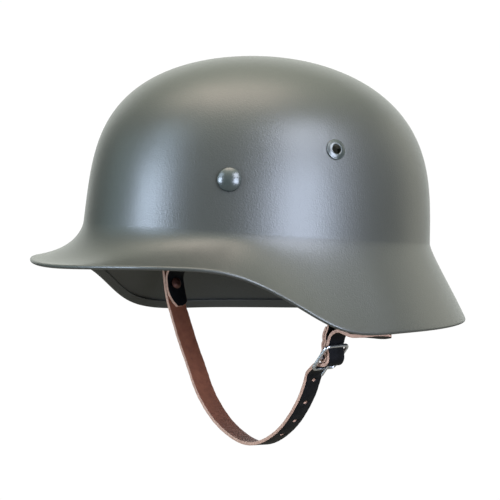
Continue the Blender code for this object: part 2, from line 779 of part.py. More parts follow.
def long_strap_route():
    """The strap's middle line and widths: tab, fold round the hanger, loop, buckle and free end."""
    bar, fold = hanger_fold(-1, -STRAP_SLIDE, STRAP_THICKNESS)
    points = [bar + (-fold, 0, 0)]
    widths = [width_direction(LOOP_TABLE[0][2], math.degrees(SHELL_PITCH))]
    for along, drop, turn, roll in LOOP_TABLE:
        points.append(loop_place(along * HANGER_SPAN, drop * LOOP_DEPTH))
        widths.append(width_direction(turn, roll))
    fine_from = len(points) - 1
    weave = behind_end_bar(-1, 0, (0, 0.5, 1)) + over_middle_bar(0, (-1, -0.5, 0, 0.5, 1))
    weave += behind_end_bar(1, 0, (1, 0.5, 0))
    points += weave
    widths += [buckle_axes()[1]] * len(weave)
    fine_to = len(points) - 1
    leaving = points[-1]
    for left, back, rise, turn, roll in FREE_TABLE:
        points.append(leaving + np.array([left, back, rise]) * FREE_END)
        widths.append(width_direction(turn, roll))
    main, main_widths = sampled(points, widths, STRAP_STEP, fine_from, fine_to)
    spacing = STRAP_THICKNESS + SEAT_GAP
    tab, tab_widths = folded_tab(main, main_widths, (0, TAB_LENGTH), TAB_MERGE, fold, spacing, (1, 0, 0))
    arc = fold_arc(bar, np.array([fold, 0, 0]), np.array([0, 0, fold]))
    path = np.vstack([tab[::-1], arc, main])
    arc_widths = np.repeat(main_widths[:1], len(arc), axis=0)
    return path, np.vstack([tab_widths[::-1], arc_widths, main_widths]), len(tab) + len(arc)


def short_strap_route():
    """The short strap from a tab, over the hanger, to the buckle's middle bar and back up."""
    bar, fold = hanger_fold(1, STRAP_SLIDE, SHORT_STRAP_THICKNESS)
    centre, across, up, out = buckle_axes()
    points = [bar + (fold, 0, 0)]
    widths = [width_direction(SHORT_TABLE[0][2], math.degrees(SHELL_PITCH))]
    for along, drop, turn, roll in SHORT_TABLE:
        points.append(loop_place(along * HANGER_SPAN, drop * LOOP_DEPTH))
        widths.append(width_direction(turn, roll))
    fine_from = len(points) - 1
    weave = behind_end_bar(1, LAYER_SPACING, (0, 0.5, 1)) + over_middle_bar(LAYER_SPACING, (1, 0.5, 0))
    points += weave
    widths += [across] * len(weave)
    main, main_widths = sampled(points, widths, STRAP_STEP, fine_from, len(points) - 1)
    spacing = SHORT_STRAP_THICKNESS + SEAT_GAP
    inward = (-1, 0, 0)
    tab, tab_widths = folded_tab(main, main_widths, (0, SHORT_TAB_LENGTH), TAB_MERGE, fold, spacing, inward)
    seam_span = (SEAM_START, SEAM_LENGTH)
    seam, seam_widths = folded_tab(main[::-1], main_widths[::-1], seam_span, SEAM_START, 0, spacing, inward)
    over = fold_arc(bar, np.array([-fold, 0, 0]), np.array([0, 0, fold]))
    under = fold_arc(centre, out * SHORT_FOLD, -up * SHORT_FOLD) + [centre - out * SHORT_FOLD]
    path = np.vstack([tab[::-1], over, main, under, seam])
    spread = np.vstack([
        tab_widths[::-1],
        np.repeat(main_widths[:1], len(over), axis=0),
        main_widths,
        np.repeat(main_widths[-1:], len(under), axis=0),
        seam_widths,
    ])
    return path, spread, len(tab) + len(over)


def end_width(distance, taper):
    """Share of the full width at a distance from a tapered end."""
    if taper == 0 or distance >= taper:
        return 1.0
    near = 1 - distance / taper
    return 1 - (1 - TIP_BLUNTNESS) * near * near


def strap(name, path, widths, thickness, tapers, finish):
    """Flat leather along a path, each end tapered over a length for each of its two edges."""
    _, across, out = frames_along(path, widths)
    travelled = path_lengths(path)
    points = []
    for k, centre in enumerate(path):
        halves = []
        for first, last in zip(*tapers, strict=True):
            share = end_width(travelled[k], first) * end_width(travelled[-1] - travelled[k], last)
            halves.append(across[k] * STRAP_WIDTH / 2 * share)
        rise = out[k] * thickness / 2
        low, high = halves
        points += [centre - low - rise, centre + high - rise, centre + high + rise, centre - low + rise]
    rings = [range(4 * k, 4 * k + 4) for k in range(len(path))]
    faces = [tuple(rings[0])[::-1], tuple(rings[-1])]
    for first, second in zip(rings, rings[1:], strict=False):
        faces += band_faces(first, second)
    return make_object(name, points, faces, finish)


def axes_matrix(place, side, up, out):
    columns = Matrix((Vector(side), Vector(up), Vector(out))).transposed()
    return Matrix.Translation(Vector(place)) @ columns.to_4x4()


def matrix_on_path(path, widths, distance, start):
    """Placement on a path at a distance after one of its points, local Z out of the strap's face."""
    travelled = path_lengths(path)
    wanted = travelled[start] + distance
    tangents, across, out = frames_along(path, widths)
    place, along, side, face = [
        np.array([np.interp(wanted, travelled, column) for column in rows.T])
        for rows in (path, tangents, across, out)
    ]
    return axes_matrix(place, side, -along, face)


def strap_hole(name, strap_object, matrix, radius, low, high, sides=12):
    profile = [(0, high), (radius, high), (radius, low), (0, low)]
    cutter = turned(name, profile, matrix, sides=sides)
    boolean(strap_object, cutter, "DIFFERENCE")


def strap_stud(name, strap_object, matrix, thickness, towards, finish):
    """Stud through both layers of a fold, with a domed head on each face."""
    if Vector(matrix.col[2][:3]).dot(Vector(towards)) < 0:
        matrix = matrix @ Matrix.Rotation(math.pi, 4, "X")
    play = SEAT_GAP + STUD_PLAY
    low = -thickness / 2 - play
    high = thickness * 1.5 + SEAT_GAP + play
    profile = cap_profile(STUD_HEAD_RADIUS, STUD_HEAD_RISE, high, steps=4)
    profile += [(STUD_SHANK_RADIUS, high), (STUD_SHANK_RADIUS, low)]
    under = cap_profile(STUD_HEAD_RADIUS, STUD_HEAD_RISE, -low, steps=4)
    profile += [(radius, -height) for radius, height in reversed(under)]
    turned(name, profile, matrix, finish, sides=16)
    hole = STUD_SHANK_RADIUS + BORE_PLAY
    strap_hole(f"{name}_hole", strap_object, matrix, hole, low * 2, high + thickness / 2)


def buckle_frame(finish):
    centre, across, up, _ = buckle_axes()
    wide = across * BUCKLE_WIDTH / 2
    tall = up * BUCKLE_LENGTH / 2
    corners = [centre + tall - wide, centre + tall + wide, centre - tall + wide, centre - tall - wide]
    out = np.cross(across, up)
    path = rounded_corners(corners, BUCKLE_CORNER, closed=True)
    frame = tube("buckle_frame", path, BUCKLE_WIRE_RADIUS, out, finish, closed=True)
    bar = tube("buckle_bar", [centre - wide, centre + wide], BUCKLE_WIRE_RADIUS, out, sides=WIRE_SIDES + 4)
    boolean(frame, bar, "UNION")
    return frame


def prong_route():
    """Eye round the middle bar, then straight over the lower bar to the tip."""
    centre, _, up, out = buckle_axes()
    eye = [centre + PRONG_OFFSET * (out * math.cos(a) + up * math.sin(a)) for a in np.linspace(3.6, 0, 12)]
    run = BUCKLE_LENGTH / 2 + PRONG_OVERHANG
    shaft = [centre + out * PRONG_OFFSET - up * run * share for share in (0.2, 0.45, 0.7, 1.0)]
    return eye + shaft


def prong_slot(short_strap):
    """Slot in the short strap's fold that the prong's eye sits in."""
    centre, across, up, out = buckle_axes()
    reach = PRONG_OFFSET + PRONG_RADIUS + PRONG_SLOT_MARGIN
    half = PRONG_SLOT / 2
    points = []
    for high in (-reach, reach):
        for wide, deep in ((-half, -reach), (half, -reach), (half, reach), (-half, reach)):
            points.append(centre + across * wide + out * deep + up * high)
    cutter = make_object("prong_slot", points, BOX_FACES)
    boolean(short_strap, cutter, "DIFFERENCE")


def adjusting_holes(long_strap, path, widths, start):
    travelled = path_lengths(path)
    below = np.linalg.norm(path - in_section(0, -BUCKLE_LENGTH / 2), axis=1).argmin()
    for k in range(HOLE_COUNT):
        distance = travelled[below] - travelled[start] - HOLE_FIRST - HOLE_PITCH * k
        place = matrix_on_path(path, widths, distance, start)
        strap_hole(f"adjusting_hole_{k}", long_strap, place, HOLE_RADIUS, -STRAP_THICKNESS, STRAP_THICKNESS)


def main():
    clear_scene()
    steel = material("painted_steel", (0.085, 0.100, 0.085), 0.0, 0.45)
    fitting = material("painted_fitting", (0.075, 0.085, 0.072), 0.0, 0.35)
    bare = material("bare_steel", (0.55, 0.56, 0.58), 1.0, 0.30)
    leather = material("black_leather", (0.020, 0.018, 0.018), 0.0, 0.50)
    brass = material("brown_metal", (0.16, 0.11, 0.08), 1.0, 0.45)

    pitch = bpy.data.objects.new("shell_pitch", None)
    bpy.context.scene.collection.objects.link(pitch)
    pitch.rotation_euler.x = -SHELL_PITCH

    shell = shell_object(steel, pitch)
    split_pin("pin_front_left", PIN_TURN, shell, fitting, pitch)
    split_pin("pin_front_right", -PIN_TURN, shell, fitting, pitch)
    split_pin("pin_rear", math.pi, shell, fitting, pitch)
    vent_bushing("vent_bushing_left", VENT_TURN, shell, fitting, pitch)
    vent_bushing("vent_bushing_right", -VENT_TURN, shell, fitting, pitch)
    hanger("strap_hanger_left", 1, fitting, pitch)
    hanger("strap_hanger_right", -1, fitting, pitch)

    path, widths, start = long_strap_route()
    long_strap = strap("chin_strap_long", path, widths, STRAP_THICKNESS, (TAB_TIP, FREE_TIP), leather)
    stud_place = matrix_on_path(path, widths, STUD_PLACE, start)
    strap_stud("strap_stud_right", long_strap, stud_place, STRAP_THICKNESS, (1, 0, 0), brass)
    short_path, short_widths, short_start = short_strap_route()
    short_strap = strap("chin_strap_short", short_path, short_widths, SHORT_STRAP_THICKNESS, ((0, 0), (0, 0)), leather)
    stud_place = matrix_on_path(short_path, short_widths, STUD_PLACE, short_start)
    strap_stud("strap_stud_left", short_strap, stud_place, SHORT_STRAP_THICKNESS, (-1, 0, 0), brass)

    buckle_frame(bare)
    route = prong_route()
    centre, across, up, out = buckle_axes()
    tube("buckle_prong", route, PRONG_RADIUS, across, bare)
    prong_slot(short_strap)
    prong_axis = axes_matrix(centre + out * PRONG_OFFSET, across, out, -up)
    hole = PRONG_RADIUS + PRONG_HOLE_PLAY
    strap_hole("prong_hole", long_strap, prong_axis, hole, 0, BUCKLE_LENGTH / 2)
    adjusting_holes(long_strap, path, widths, start)


main()
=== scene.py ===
"""Looks of the steel combat helmet: paint, leather and metal on finely modelled pieces.

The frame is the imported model's: the front faces -Y, the wearer's left is +X, Z is up, and the
origin is the centre of the shell's waist. Each visible piece follows the same sizes as its solid.
"""

import math

import bmesh
import bpy
import numpy as np
from mathutils import Matrix, Vector


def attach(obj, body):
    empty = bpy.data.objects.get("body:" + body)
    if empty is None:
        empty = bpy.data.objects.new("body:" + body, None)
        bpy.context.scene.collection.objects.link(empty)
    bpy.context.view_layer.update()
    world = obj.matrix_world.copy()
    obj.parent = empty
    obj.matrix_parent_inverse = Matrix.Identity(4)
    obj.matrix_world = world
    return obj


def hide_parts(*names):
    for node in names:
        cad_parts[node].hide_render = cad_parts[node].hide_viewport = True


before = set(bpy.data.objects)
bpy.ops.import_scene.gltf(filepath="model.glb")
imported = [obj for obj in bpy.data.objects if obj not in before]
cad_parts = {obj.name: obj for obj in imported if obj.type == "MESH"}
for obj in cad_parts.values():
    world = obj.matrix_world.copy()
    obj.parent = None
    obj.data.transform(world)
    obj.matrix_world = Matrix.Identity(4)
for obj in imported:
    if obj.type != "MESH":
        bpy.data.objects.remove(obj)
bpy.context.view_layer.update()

# Waist: the plan outline where the dome meets the flare, measured on the outside.
WAIST_FRONT = 0.1171
WAIST_BACK = 0.1124
WAIST_SIDE = 0.0960
WAIST_POWER = 2.05

# Dome, with its fullness (a power) and its lean inwards, at the front, the side and the back.
DOME_HEIGHT = 0.1119
DOME_FULLNESS = (3.55, 3.85, 3.10)
DOME_LEAN = (0.056, 0.043, 0.051)

# Flare: its reach and drop at the rim, its slope there, and how straight it leaves both ends.
RIM_DROP = 0.0565
RIM_REACH = 0.0330
RIM_SLOPE = (math.radians(0), math.radians(60), math.radians(59))
WAIST_PULL = (0.27, 0.145, 0.09)
RIM_PULL = (0.40, 0.387, 0.343)
# Turn from the front in degrees, drop as a share of RIM_DROP, reach as a share of RIM_REACH.
RIM_TABLE = (
    (0, 0.510, 1.000),
    (20, 0.475, 0.975),
    (38, 0.440, 0.950),
    (50, 0.461, 0.832),
    (60, 0.580, 0.749),
    (70, 0.763, 0.839),
    (80, 0.944, 0.940),
    (90, 1.003, 0.894),
    (102, 0.979, 0.826),
    (118, 0.940, 0.742),
    (138, 0.893, 0.718),
    (160, 0.841, 0.826),
    (180, 0.815, 0.900),
)

# Sheet steel, and its edge, which is turned inwards and back up as a flange with a rounded lip.
SHELL_WALL = 0.0012
RIM_THICKNESS = 0.0026
RIM_FLANGE = 0.0050
FLANGE_LIP = 0.0004
SHELL_PITCH = math.radians(4.54)

# Split pins: turn from the front, height over the waist, and the pin's own sizes.
PIN_TURN = math.radians(46.2)
PIN_HEIGHT = 0.0302
PIN_HEAD_RADIUS = 0.0073
PIN_HEAD_BALL = 0.0112
PIN_HEAD_EDGE = 0.0013
PIN_HEAD_SKIRT = 0.0003
PIN_SHANK_RADIUS = 0.0021
PIN_PRONG_LENGTH = 0.0120
PIN_PRONG_WIDTH = 0.0032
PIN_PRONG_THICKNESS = 0.0010
PIN_PRONG_LIFT = math.radians(12)
# Share of a prong's length where it starts to narrow, and the share of its width lost at the tip.
PIN_TAPER_START = 0.75
PIN_TAPER_LOSS = 0.35

# Vents: turn from the front, height over the waist, and the bushing's own sizes.
VENT_TURN = math.radians(85.1)
VENT_HEIGHT = 0.0530
VENT_BORE_RADIUS = 0.0029
VENT_BARREL_WALL = 0.0010
VENT_FLANGE_RADIUS = 0.0064
VENT_FLANGE_RISE = 0.0013
VENT_LIP = 0.0005
VENT_EDGE = 0.00055
VENT_CLINCH_RADIUS = 0.0058
# Height of the clinched flange at its crest and at the bore, as shares of VENT_FLANGE_RISE, and the
# power of the fall of the outer flange.
VENT_CLINCH_CREST = 0.8
VENT_CLINCH_BORE = 0.5
VENT_FALL_POWER = 1.6

# Strap hangers: the place of the bar that carries the strap, in the shell's own level frame, with
# its inset from the waist's outside.
HANGER_INSET = 0.0060
HANGER_SPAN = WAIST_SIDE - HANGER_INSET
HANGER_FORWARD = 0.0051
HANGER_DROP = 0.0215
HANGER_WIRE_RADIUS = 0.0015
HANGER_INNER_WIDTH = 0.0270
HANGER_CORNER = 0.0035
HANGER_PAD_BOTTOM = 0.0010
HANGER_PAD_HEIGHT = 0.0110
HANGER_PAD_THICKNESS = 0.0020
HANGER_PAD_MARGIN = 0.0030
# Share of the wire's radius that the middle of its legs lies inside the pad.
HANGER_LEG_SINK = 0.3

# Strap leather, and the loop that it hangs in below the hangers.
STRAP_WIDTH = 0.0140
STRAP_THICKNESS = 0.0022
SHORT_STRAP_THICKNESS = 0.0015
LOOP_DEPTH = 0.1350
STRAP_SLIDE = 0.0052
FOLD_PLAY = 0.0022
TAB_LENGTH = 0.0335
TAB_MERGE = 0.0125
TAB_TIP = (0.0130, 0.0040)
SHORT_TAB_LENGTH = 0.0230
SEAM_START = 0.0060
SEAM_LENGTH = 0.0210
FREE_END = 0.0400
FREE_TIP = (0.0080, 0.0080)
TIP_BLUNTNESS = 0.30
# Place along the span as a share of HANGER_SPAN, drop as a share of LOOP_DEPTH, turn of the
# strap's width from +X in degrees, and its roll about its own length in degrees.
LOOP_TABLE = (
    (-1.035, 0.250, 98, 0),
    (-0.985, 0.365, 96, 0),
    (-0.925, 0.445, 95, 0),
    (-0.800, 0.588, 94, 0),
    (-0.700, 0.690, 94, 0),
    (-0.600, 0.790, 94, 0),
    (-0.480, 0.869, 95, 1),
    (-0.330, 0.935, 95, 2),
    (-0.160, 0.980, 96, 3),
    (0.020, 1.000, 97, 3),
    (0.200, 0.978, 98, 1),
    (0.365, 0.925, 100, -1),
    (0.500, 0.857, 102, -1),
    (0.612, 0.775, 104, 0),
    (0.695, 0.690, 105, 0),
    (0.745, 0.625, 104, 0),
)
# The same four columns for the short strap, between its hanger and the buckle.
SHORT_TABLE = (
    (1.030, 0.250, 94, 0),
    (1.005, 0.350, 96, 0),
    (0.972, 0.420, 100, 0),
    (0.953, 0.447, 101, 0),
)
# Shares of FREE_END to the left, to the back and up from where the strap leaves the buckle, then
# the turn and the roll of its width in degrees.
FREE_TABLE = (
    (0.033, 0.007, 0.095, 103, 0),
    (0.115, 0.027, 0.183, 106, 0),
    (0.163, 0.045, 0.205, 112, 0),
    (0.218, 0.072, 0.190, 120, 0),
    (0.288, 0.122, 0.145, 128, 0),
    (0.360, 0.190, 0.128, 135, 3),
    (0.470, 0.310, 0.128, 139, 8),
    (0.573, 0.430, 0.130, 141, 13),
    (0.680, 0.565, 0.133, 142, 16),
)

# Buckle: the centre of its middle bar as shares of the loop, its turn and its lean outwards.
BUCKLE_ALONG = 0.923
BUCKLE_DROP = 0.5425
BUCKLE_TURN = math.radians(102.8)
BUCKLE_LEAN = math.radians(40.3)
BUCKLE_WIDTH = 0.0190
BUCKLE_LENGTH = 0.0190
BUCKLE_WIRE_RADIUS = 0.00105
BUCKLE_CORNER = 0.0028
PRONG_RADIUS = 0.00080
PRONG_OVERHANG = 0.0045
PRONG_SLOT = 0.0028
PRONG_SLOT_MARGIN = 0.0005
PRONG_HOLE_PLAY = 0.0003
# How far the prong's eye wraps round the middle bar, in radians, and where its shaft starts, as a
# share of the way from that bar to the tip.
PRONG_EYE_TURN = 3.6
PRONG_SHAFT_START = 0.1

# Studs and the strap's adjusting holes.
STUD_PLACE = 0.0158
STUD_HEAD_RADIUS = 0.0038
STUD_HEAD_RISE = 0.0016
STUD_SHANK_RADIUS = 0.0013
HOLE_RADIUS = 0.00125
HOLE_FIRST = 0.0150
HOLE_PITCH = 0.0167
HOLE_COUNT = 4

# Fits. The facets of the mesh stand up to FACET_SAG inside the true curve.
SEAT_GAP = 0.0003
BORE_PLAY = 0.0003
WEAVE_PLAY = 0.0002
FACET_SAG = 0.00014
VENT_SEAT = 0.00055
STUD_PLAY = 0.00045
HANGER_PLAY = 0.0004
CUTTER_REACH = 0.0060

# Fineness of the visible meshes.
SHELL_COLUMNS = 240
DOME_ROWS = 40
FLARE_ROWS = 32
EDGE_ROWS = 12
INNER_FLARE_ROWS = 26
INNER_DOME_ROWS = 26
FLANGE_ROWS = (0.25, 0.5, 0.75, 0.92)
ROUND_SIDES = 64
WIRE_SIDES = 20
STUD_SIDES = 48
HOLE_SIDES = 32
HEAD_STEPS = 20
STUD_STEPS = 14
LEAF_STEPS = 12
LIP_STEPS = 9
FLANGE_STEPS = 13
BEAD_STEPS = 7
CORNER_STEPS = 12
BAR_STEPS = 12
EYE_STEPS = 40
SHAFT_STEPS = 16
END_STEPS = 5
END_CLOSING = 0.93
ARC_STEPS = 7
ROUNDING_STEPS = 3
PAD_COLUMNS = 25
PAD_ROWS = 10
ROUTE_SAMPLES = 40
STRAP_STEP = 0.0012
FOLD_STEP = 0.0006
SMOOTH_ANGLE = math.radians(38)

# Leather: rounding and bulge of the cut edges, and how far the cut wanders. Each wave of the wander
# has a length and a start.
EDGE_ROUNDING = 0.00035
EDGE_BULGE = 0.00010
CUT_WANDER = 0.00006
CUT_WAVES = ((0.031, 0.0), (0.0113, 1.7), (0.0047, 4.1))

# Camera: its place and its axes' turn and lift, and its lens on a square sensor.
CAMERA_PLACE = (1.27345, -0.79628, 0.06757)
CAMERA_TURN = math.radians(58.25)
CAMERA_LIFT = math.radians(3.015)
CAMERA_LENS = 169.26
SENSOR = 36

# Studio floor, and the brightness of the plain backdrop that the camera sees.
FLOOR_LEVEL = -0.45
FLOOR_RADIUS = 1.10
BACKDROP_LIGHT = 1.02

# Sky: its brightness, its colour, and its share of that at heights from the horizon to overhead.
SKY_LIGHT = 3.3
SKY_COLOUR = (0.93, 1.0, 0.82)
SKY_STOPS = ((0.0, 0.05), (0.5, 0.16), (0.7, 0.37), (0.85, 0.63), (1.0, 1.0))

# Soft boxes: turn from the front and height angle in degrees, distance, width, height, brightness
# and colour.
SOFT_BOXES = (
    ("box_front", 0, 7, 1.7, 0.58, 0.72, 35.0, (0.66, 0.80, 1.0)),
    ("box_front_high", 0, 34, 1.7, 0.60, 0.60, 9.5, (0.62, 0.80, 1.0)),
    ("box_side", 97, 2, 1.7, 0.88, 0.80, 27.5, (0.70, 0.80, 1.0)),
    ("box_side_high", 104, 34, 1.7, 0.90, 0.70, 18.5, (0.77, 0.84, 1.0)),
    ("box_top", 60, 86, 1.7, 1.10, 1.10, 4.2, (1.0, 0.78, 0.68)),
    ("box_top_left", -40, 68, 1.7, 0.70, 0.70, 2.6, (1.0, 0.82, 0.70)),
    ("box_left", -32, 12, 1.7, 1.20, 1.20, 1.0, (0.60, 0.95, 1.0)),
    ("box_rear", 180, 10, 1.7, 1.00, 1.20, 1.3, (1.0, 0.98, 0.84)),
    ("box_far", 238, 15, 1.8, 2.80, 1.50, 1.30, (0.96, 1.0, 0.97)),
)

# A whole turn, the wearer's two sides, the leather's finishes, and a box's faces by its corners.
FULL_TURN = 2 * math.pi
SIDES = (("left", 1), ("right", -1))
GRAIN, FLESH, CUT_EDGE = range(3)
BOX_FACES = [(0, 1, 2, 3), (7, 6, 5, 4), (0, 4, 5, 1), (1, 5, 6, 2), (2, 6, 7, 3), (3, 7, 4, 0)]


def linked(name, data):
    """New object in the scene that holds a mesh, a light or a camera."""
    thing = bpy.data.objects.new(name, data)
    bpy.context.scene.collection.objects.link(thing)
    return thing


def new_object(name, points, faces, slots, finishes, node, record_slot):
    """Mesh object with its outward normals, its finishes and the CAD node that it stands for."""
    mesh = bpy.data.meshes.new(name)
    mesh.from_pydata([tuple(point) for point in points], [], faces)
    for finish in finishes:
        mesh.materials.append(finish)
    if slots is not None:
        mesh.polygons.foreach_set("material_index", slots)
    tidy = bmesh.new()
    tidy.from_mesh(mesh)
    bmesh.ops.recalc_face_normals(tidy, faces=tidy.faces)
    tidy.to_mesh(mesh)
    tidy.free()
    mesh.shade_smooth()
    mesh.set_sharp_from_angle(angle=SMOOTH_ANGLE)
    thing = linked(name, mesh)
    if node:
        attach(thing, "root")
        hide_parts(node)
    return thing


def fitting(node, mesh, finish, record_slot):
    """Piece of one finish, from its points and faces, that stands for a CAD node."""
    new_object(f"{node}_piece", *mesh, None, [finish], node, record_slot)


def cut(target, cutter_points, cutter_faces, name, finish=None):
    """Take a solid out of a piece and leave the result in its mesh."""
    cutter = new_object(name, cutter_points, cutter_faces, None, [finish] if finish else [], None, None)
    step = target.modifiers.new(name, "BOOLEAN")
    step.operation = "DIFFERENCE"
    step.object = cutter
    step.solver = "EXACT"
    step.material_mode = "TRANSFER"
    apply_modifiers(target)
    bpy.data.objects.remove(cutter, do_unlink=True)


def apply_modifiers(target):
    graph = bpy.context.evaluated_depsgraph_get()
    done = bpy.data.meshes.new_from_object(target.evaluated_get(graph))
    target.modifiers.clear()
    target.data = done


def round_rows(count, start, end):
    """Angles from start to end, both left out."""
    return [start + (end - start) * (row + 1) / (count + 1) for row in range(count)]


def band_faces(first, second):
    """Quads between two closed rows of point numbers."""
    count = len(first)
    return [(first[k], first[(k + 1) % count], second[(k + 1) % count], second[k]) for k in range(count)]


def around(turn, radius, height):
    return np.stack([radius * np.sin(turn), -radius * np.cos(turn), height], axis=-1)


def second_derivatives(places, values, periodic):
    """Curvatures of the cubic spline through the values, for each of their columns."""
    steps = np.diff(places)
    count = len(places) - 1 if periodic else len(places)
    matrix = np.zeros((count, count))
    rates = np.zeros((count, values.shape[1]))
    slopes = np.diff(values, axis=0) / steps[:, None]
    for row in range(count):
        if not periodic and row in (0, count - 1):
            matrix[row, row] = 1
            continue
        before = steps[row - 1]
        after = steps[row]
        matrix[row, (row - 1) % count] += before
        matrix[row, row] += 2 * (before + after)
        matrix[row, (row + 1) % count] += after
        rates[row] = 6 * (slopes[row] - slopes[row - 1])
    bends = np.linalg.solve(matrix, rates)
    return np.vstack([bends, bends[:1]]) if periodic else bends


def spline(places, values, wanted, periodic=False):
    """Values at the wanted places on the cubic spline through the given ones."""
    places = np.asarray(places, float)
    values = np.asarray(values, float)
    bends = second_derivatives(places, values, periodic)
    span = np.clip(np.searchsorted(places, wanted, side="right") - 1, 0, len(places) - 2)
    width = (places[span + 1] - places[span])[:, None]
    ahead = (np.asarray(wanted) - places[span])[:, None] / width
    behind = 1 - ahead
    straight = behind * values[span] + ahead * values[span + 1]
    curved = (behind**3 - behind) * bends[span] + (ahead**3 - ahead) * bends[span + 1]
    return straight + curved * width**2 / 6


def blend(sides, turn):
    """A value that runs smoothly from the front over the side to the back."""
    front, side, back = sides
    facing = np.cos(turn)
    return side + (front - back) / 2 * facing + ((front + back) / 2 - side) * facing**2


def rim_values(turn):
    """Drop and reach of the rim at each turn from the front, the same on both sides."""
    table = np.array(RIM_TABLE)
    places = np.concatenate([-table[:0:-1, 0], table[:, 0]])
    values = np.vstack([table[:0:-1, 1:], table[:, 1:]])
    wanted = (np.degrees(turn) + 180) % 360 - 180
    shares = spline(places, values, wanted, periodic=True)
    return shares[:, 0] * RIM_DROP, shares[:, 1] * RIM_REACH


def waist_radius(turn):
    middle = (WAIST_FRONT + WAIST_BACK) / 2
    length = middle + (WAIST_FRONT - WAIST_BACK) / 2 * np.cos(turn)
    lengthwise = np.abs(np.cos(turn) / length) ** WAIST_POWER
    sideways = np.abs(np.sin(turn) / WAIST_SIDE) ** WAIST_POWER
    return (lengthwise + sideways) ** (-1 / WAIST_POWER)


def dome_profile(turn, share):
    """Radius and height of the outside, from the crown at share 0 to the waist at share 1."""
    height = DOME_HEIGHT * np.cos(share * math.pi / 2) * np.ones_like(turn)
    leaning = waist_radius(turn) - blend(DOME_LEAN, turn) * height
    closing = 1 - (height / DOME_HEIGHT) ** blend(DOME_FULLNESS, turn)
    return leaning * np.sqrt(np.clip(closing, 0, 1)), height


def flare_profile(turn, share):
    """Radius and height of the outside, from the waist at share 0 to the rolled edge at share 1."""
    drop, reach = rim_values(turn)
    slope = blend(RIM_SLOPE, turn)
    length = np.hypot(drop, reach)
    along = np.array([np.cos(slope), -np.sin(slope)])
    out = np.array([np.sin(slope), np.cos(slope)])
    half = RIM_THICKNESS / 2
    start = np.zeros_like(along)
    leave = length * blend(WAIST_PULL, turn) * np.array([blend(DOME_LEAN, turn), -np.ones_like(turn)])
    end = np.array([reach, -drop]) + half * (out - along)
    arrive = end - length * blend(RIM_PULL, turn) * along
    rest = 1 - share
    place = rest**3 * start + 3 * rest**2 * share * leave + 3 * rest * share**2 * arrive + share**3 * end
    return waist_radius(turn) + place[0], place[1]


def outside(turn, share):
    """Radius and height of the outside: the dome for shares 0 to 1, the flare for 1 to 2."""
    if share <= 1:
        return dome_profile(turn, share)
    return flare_profile(turn, share - 1)


def profile_normal(turn, share):
    """Direction out of the shell in the upright plane through the axis, as radius and height."""
    step = 0.0005
    if share <= 0:
        return np.zeros_like(turn), np.ones_like(turn)
    before = outside(turn, min(share, 2 - step) - step)
    after = outside(turn, min(share + step, 2))
    along = np.array([after[0] - before[0], after[1] - before[1]])
    along /= np.hypot(*along)
    return -along[1], along[0]


def sunk(turn, share, depth):
    """Radius and height at a depth below the outside."""
    radius, height = outside(turn, share)
    across, upwards = profile_normal(turn, share)
    return radius - depth * across, height - depth * upwards


def edge_row(turn, angle):
    """Radius and height on the rolled edge, from the outside at angle 0 to the flange at pi."""
    half = RIM_THICKNESS / 2
    across, upwards = profile_normal(turn, 2)
    radius, height = outside(turn, 2)
    out = math.cos(angle) - 1
    along = math.sin(angle)
    return (
        radius + half * (out * across + along * upwards),
        height + half * (out * upwards - along * across),
    )


def flange_share(turn):
    """Share of the profile where the turned-in flange ends, a row of one value for each turn."""
    drop, reach = rim_values(turn)
    speed = 3 * np.hypot(drop, reach) * blend(RIM_PULL, turn)
    return 2 - RIM_FLANGE / speed


def sunk_each(turn, shares, depth):
    rows = [sunk(turn[[k]], shares[k], depth) for k in range(len(turn))]
    return np.array([row[0][0] for row in rows]), np.array([row[1][0] for row in rows])


def shell_rows(turn):
    """Rows of (radius, height) from the crown outside, round the rim, to the crown inside."""
    rows = [outside(turn, (row + 1) / DOME_ROWS) for row in range(DOME_ROWS)]
    rows += [outside(turn, 1 + (row + 1) / FLARE_ROWS) for row in range(FLARE_ROWS)]
    rows += [edge_row(turn, angle) for angle in round_rows(EDGE_ROWS - 1, 0, math.pi)]
    top = flange_share(turn)
    rows.append(edge_row(turn, math.pi))
    for share in FLANGE_ROWS:
        rows.append(sunk_each(turn, 2 + (top - 2) * share, RIM_THICKNESS))
    rows.append(sunk_each(turn, top, RIM_THICKNESS - FLANGE_LIP / 3))
    rows.append(sunk_each(turn, top, SHELL_WALL + FLANGE_LIP / 3))
    rows.append(sunk_each(turn, top - FLANGE_LIP, SHELL_WALL))
    start = top - FLANGE_LIP
    for row in range(INNER_FLARE_ROWS):
        rows.append(sunk_each(turn, start - (start - 1) * (row + 1) / INNER_FLARE_ROWS, SHELL_WALL))
    for row in range(INNER_DOME_ROWS - 1):
        rows.append(sunk(turn, 1 - (row + 1) / INNER_DOME_ROWS, SHELL_WALL))
    return rows


def shell_piece(finish):
    turn = np.arange(SHELL_COLUMNS) * FULL_TURN / SHELL_COLUMNS
    rows = shell_rows(turn)
    points = [(0, 0, DOME_HEIGHT)]
    for radius, height in rows:
        points.extend(around(turn, radius, height))
    points.append((0, 0, DOME_HEIGHT - SHELL_WALL))
    numbers = [range(1 + row * SHELL_COLUMNS, 1 + (row + 1) * SHELL_COLUMNS) for row in range(len(rows))]
    faces = [(0, numbers[0][k], numbers[0][(k + 1) % SHELL_COLUMNS]) for k in range(SHELL_COLUMNS)]
    for row in range(len(rows) - 1):
        faces += band_faces(numbers[row], numbers[row + 1])
    last = numbers[-1]
    faces += [(len(points) - 1, last[(k + 1) % SHELL_COLUMNS], last[k]) for k in range(SHELL_COLUMNS)]
    return new_object("shell_skin", pitched_all(points), faces, None, [finish], "shell", "painted_steel")


def pitched_all(points):
    """World places of points given in the shell's own level frame."""
    return np.asarray(points, float) @ np.array(Matrix.Rotation(SHELL_PITCH, 3, "X"))


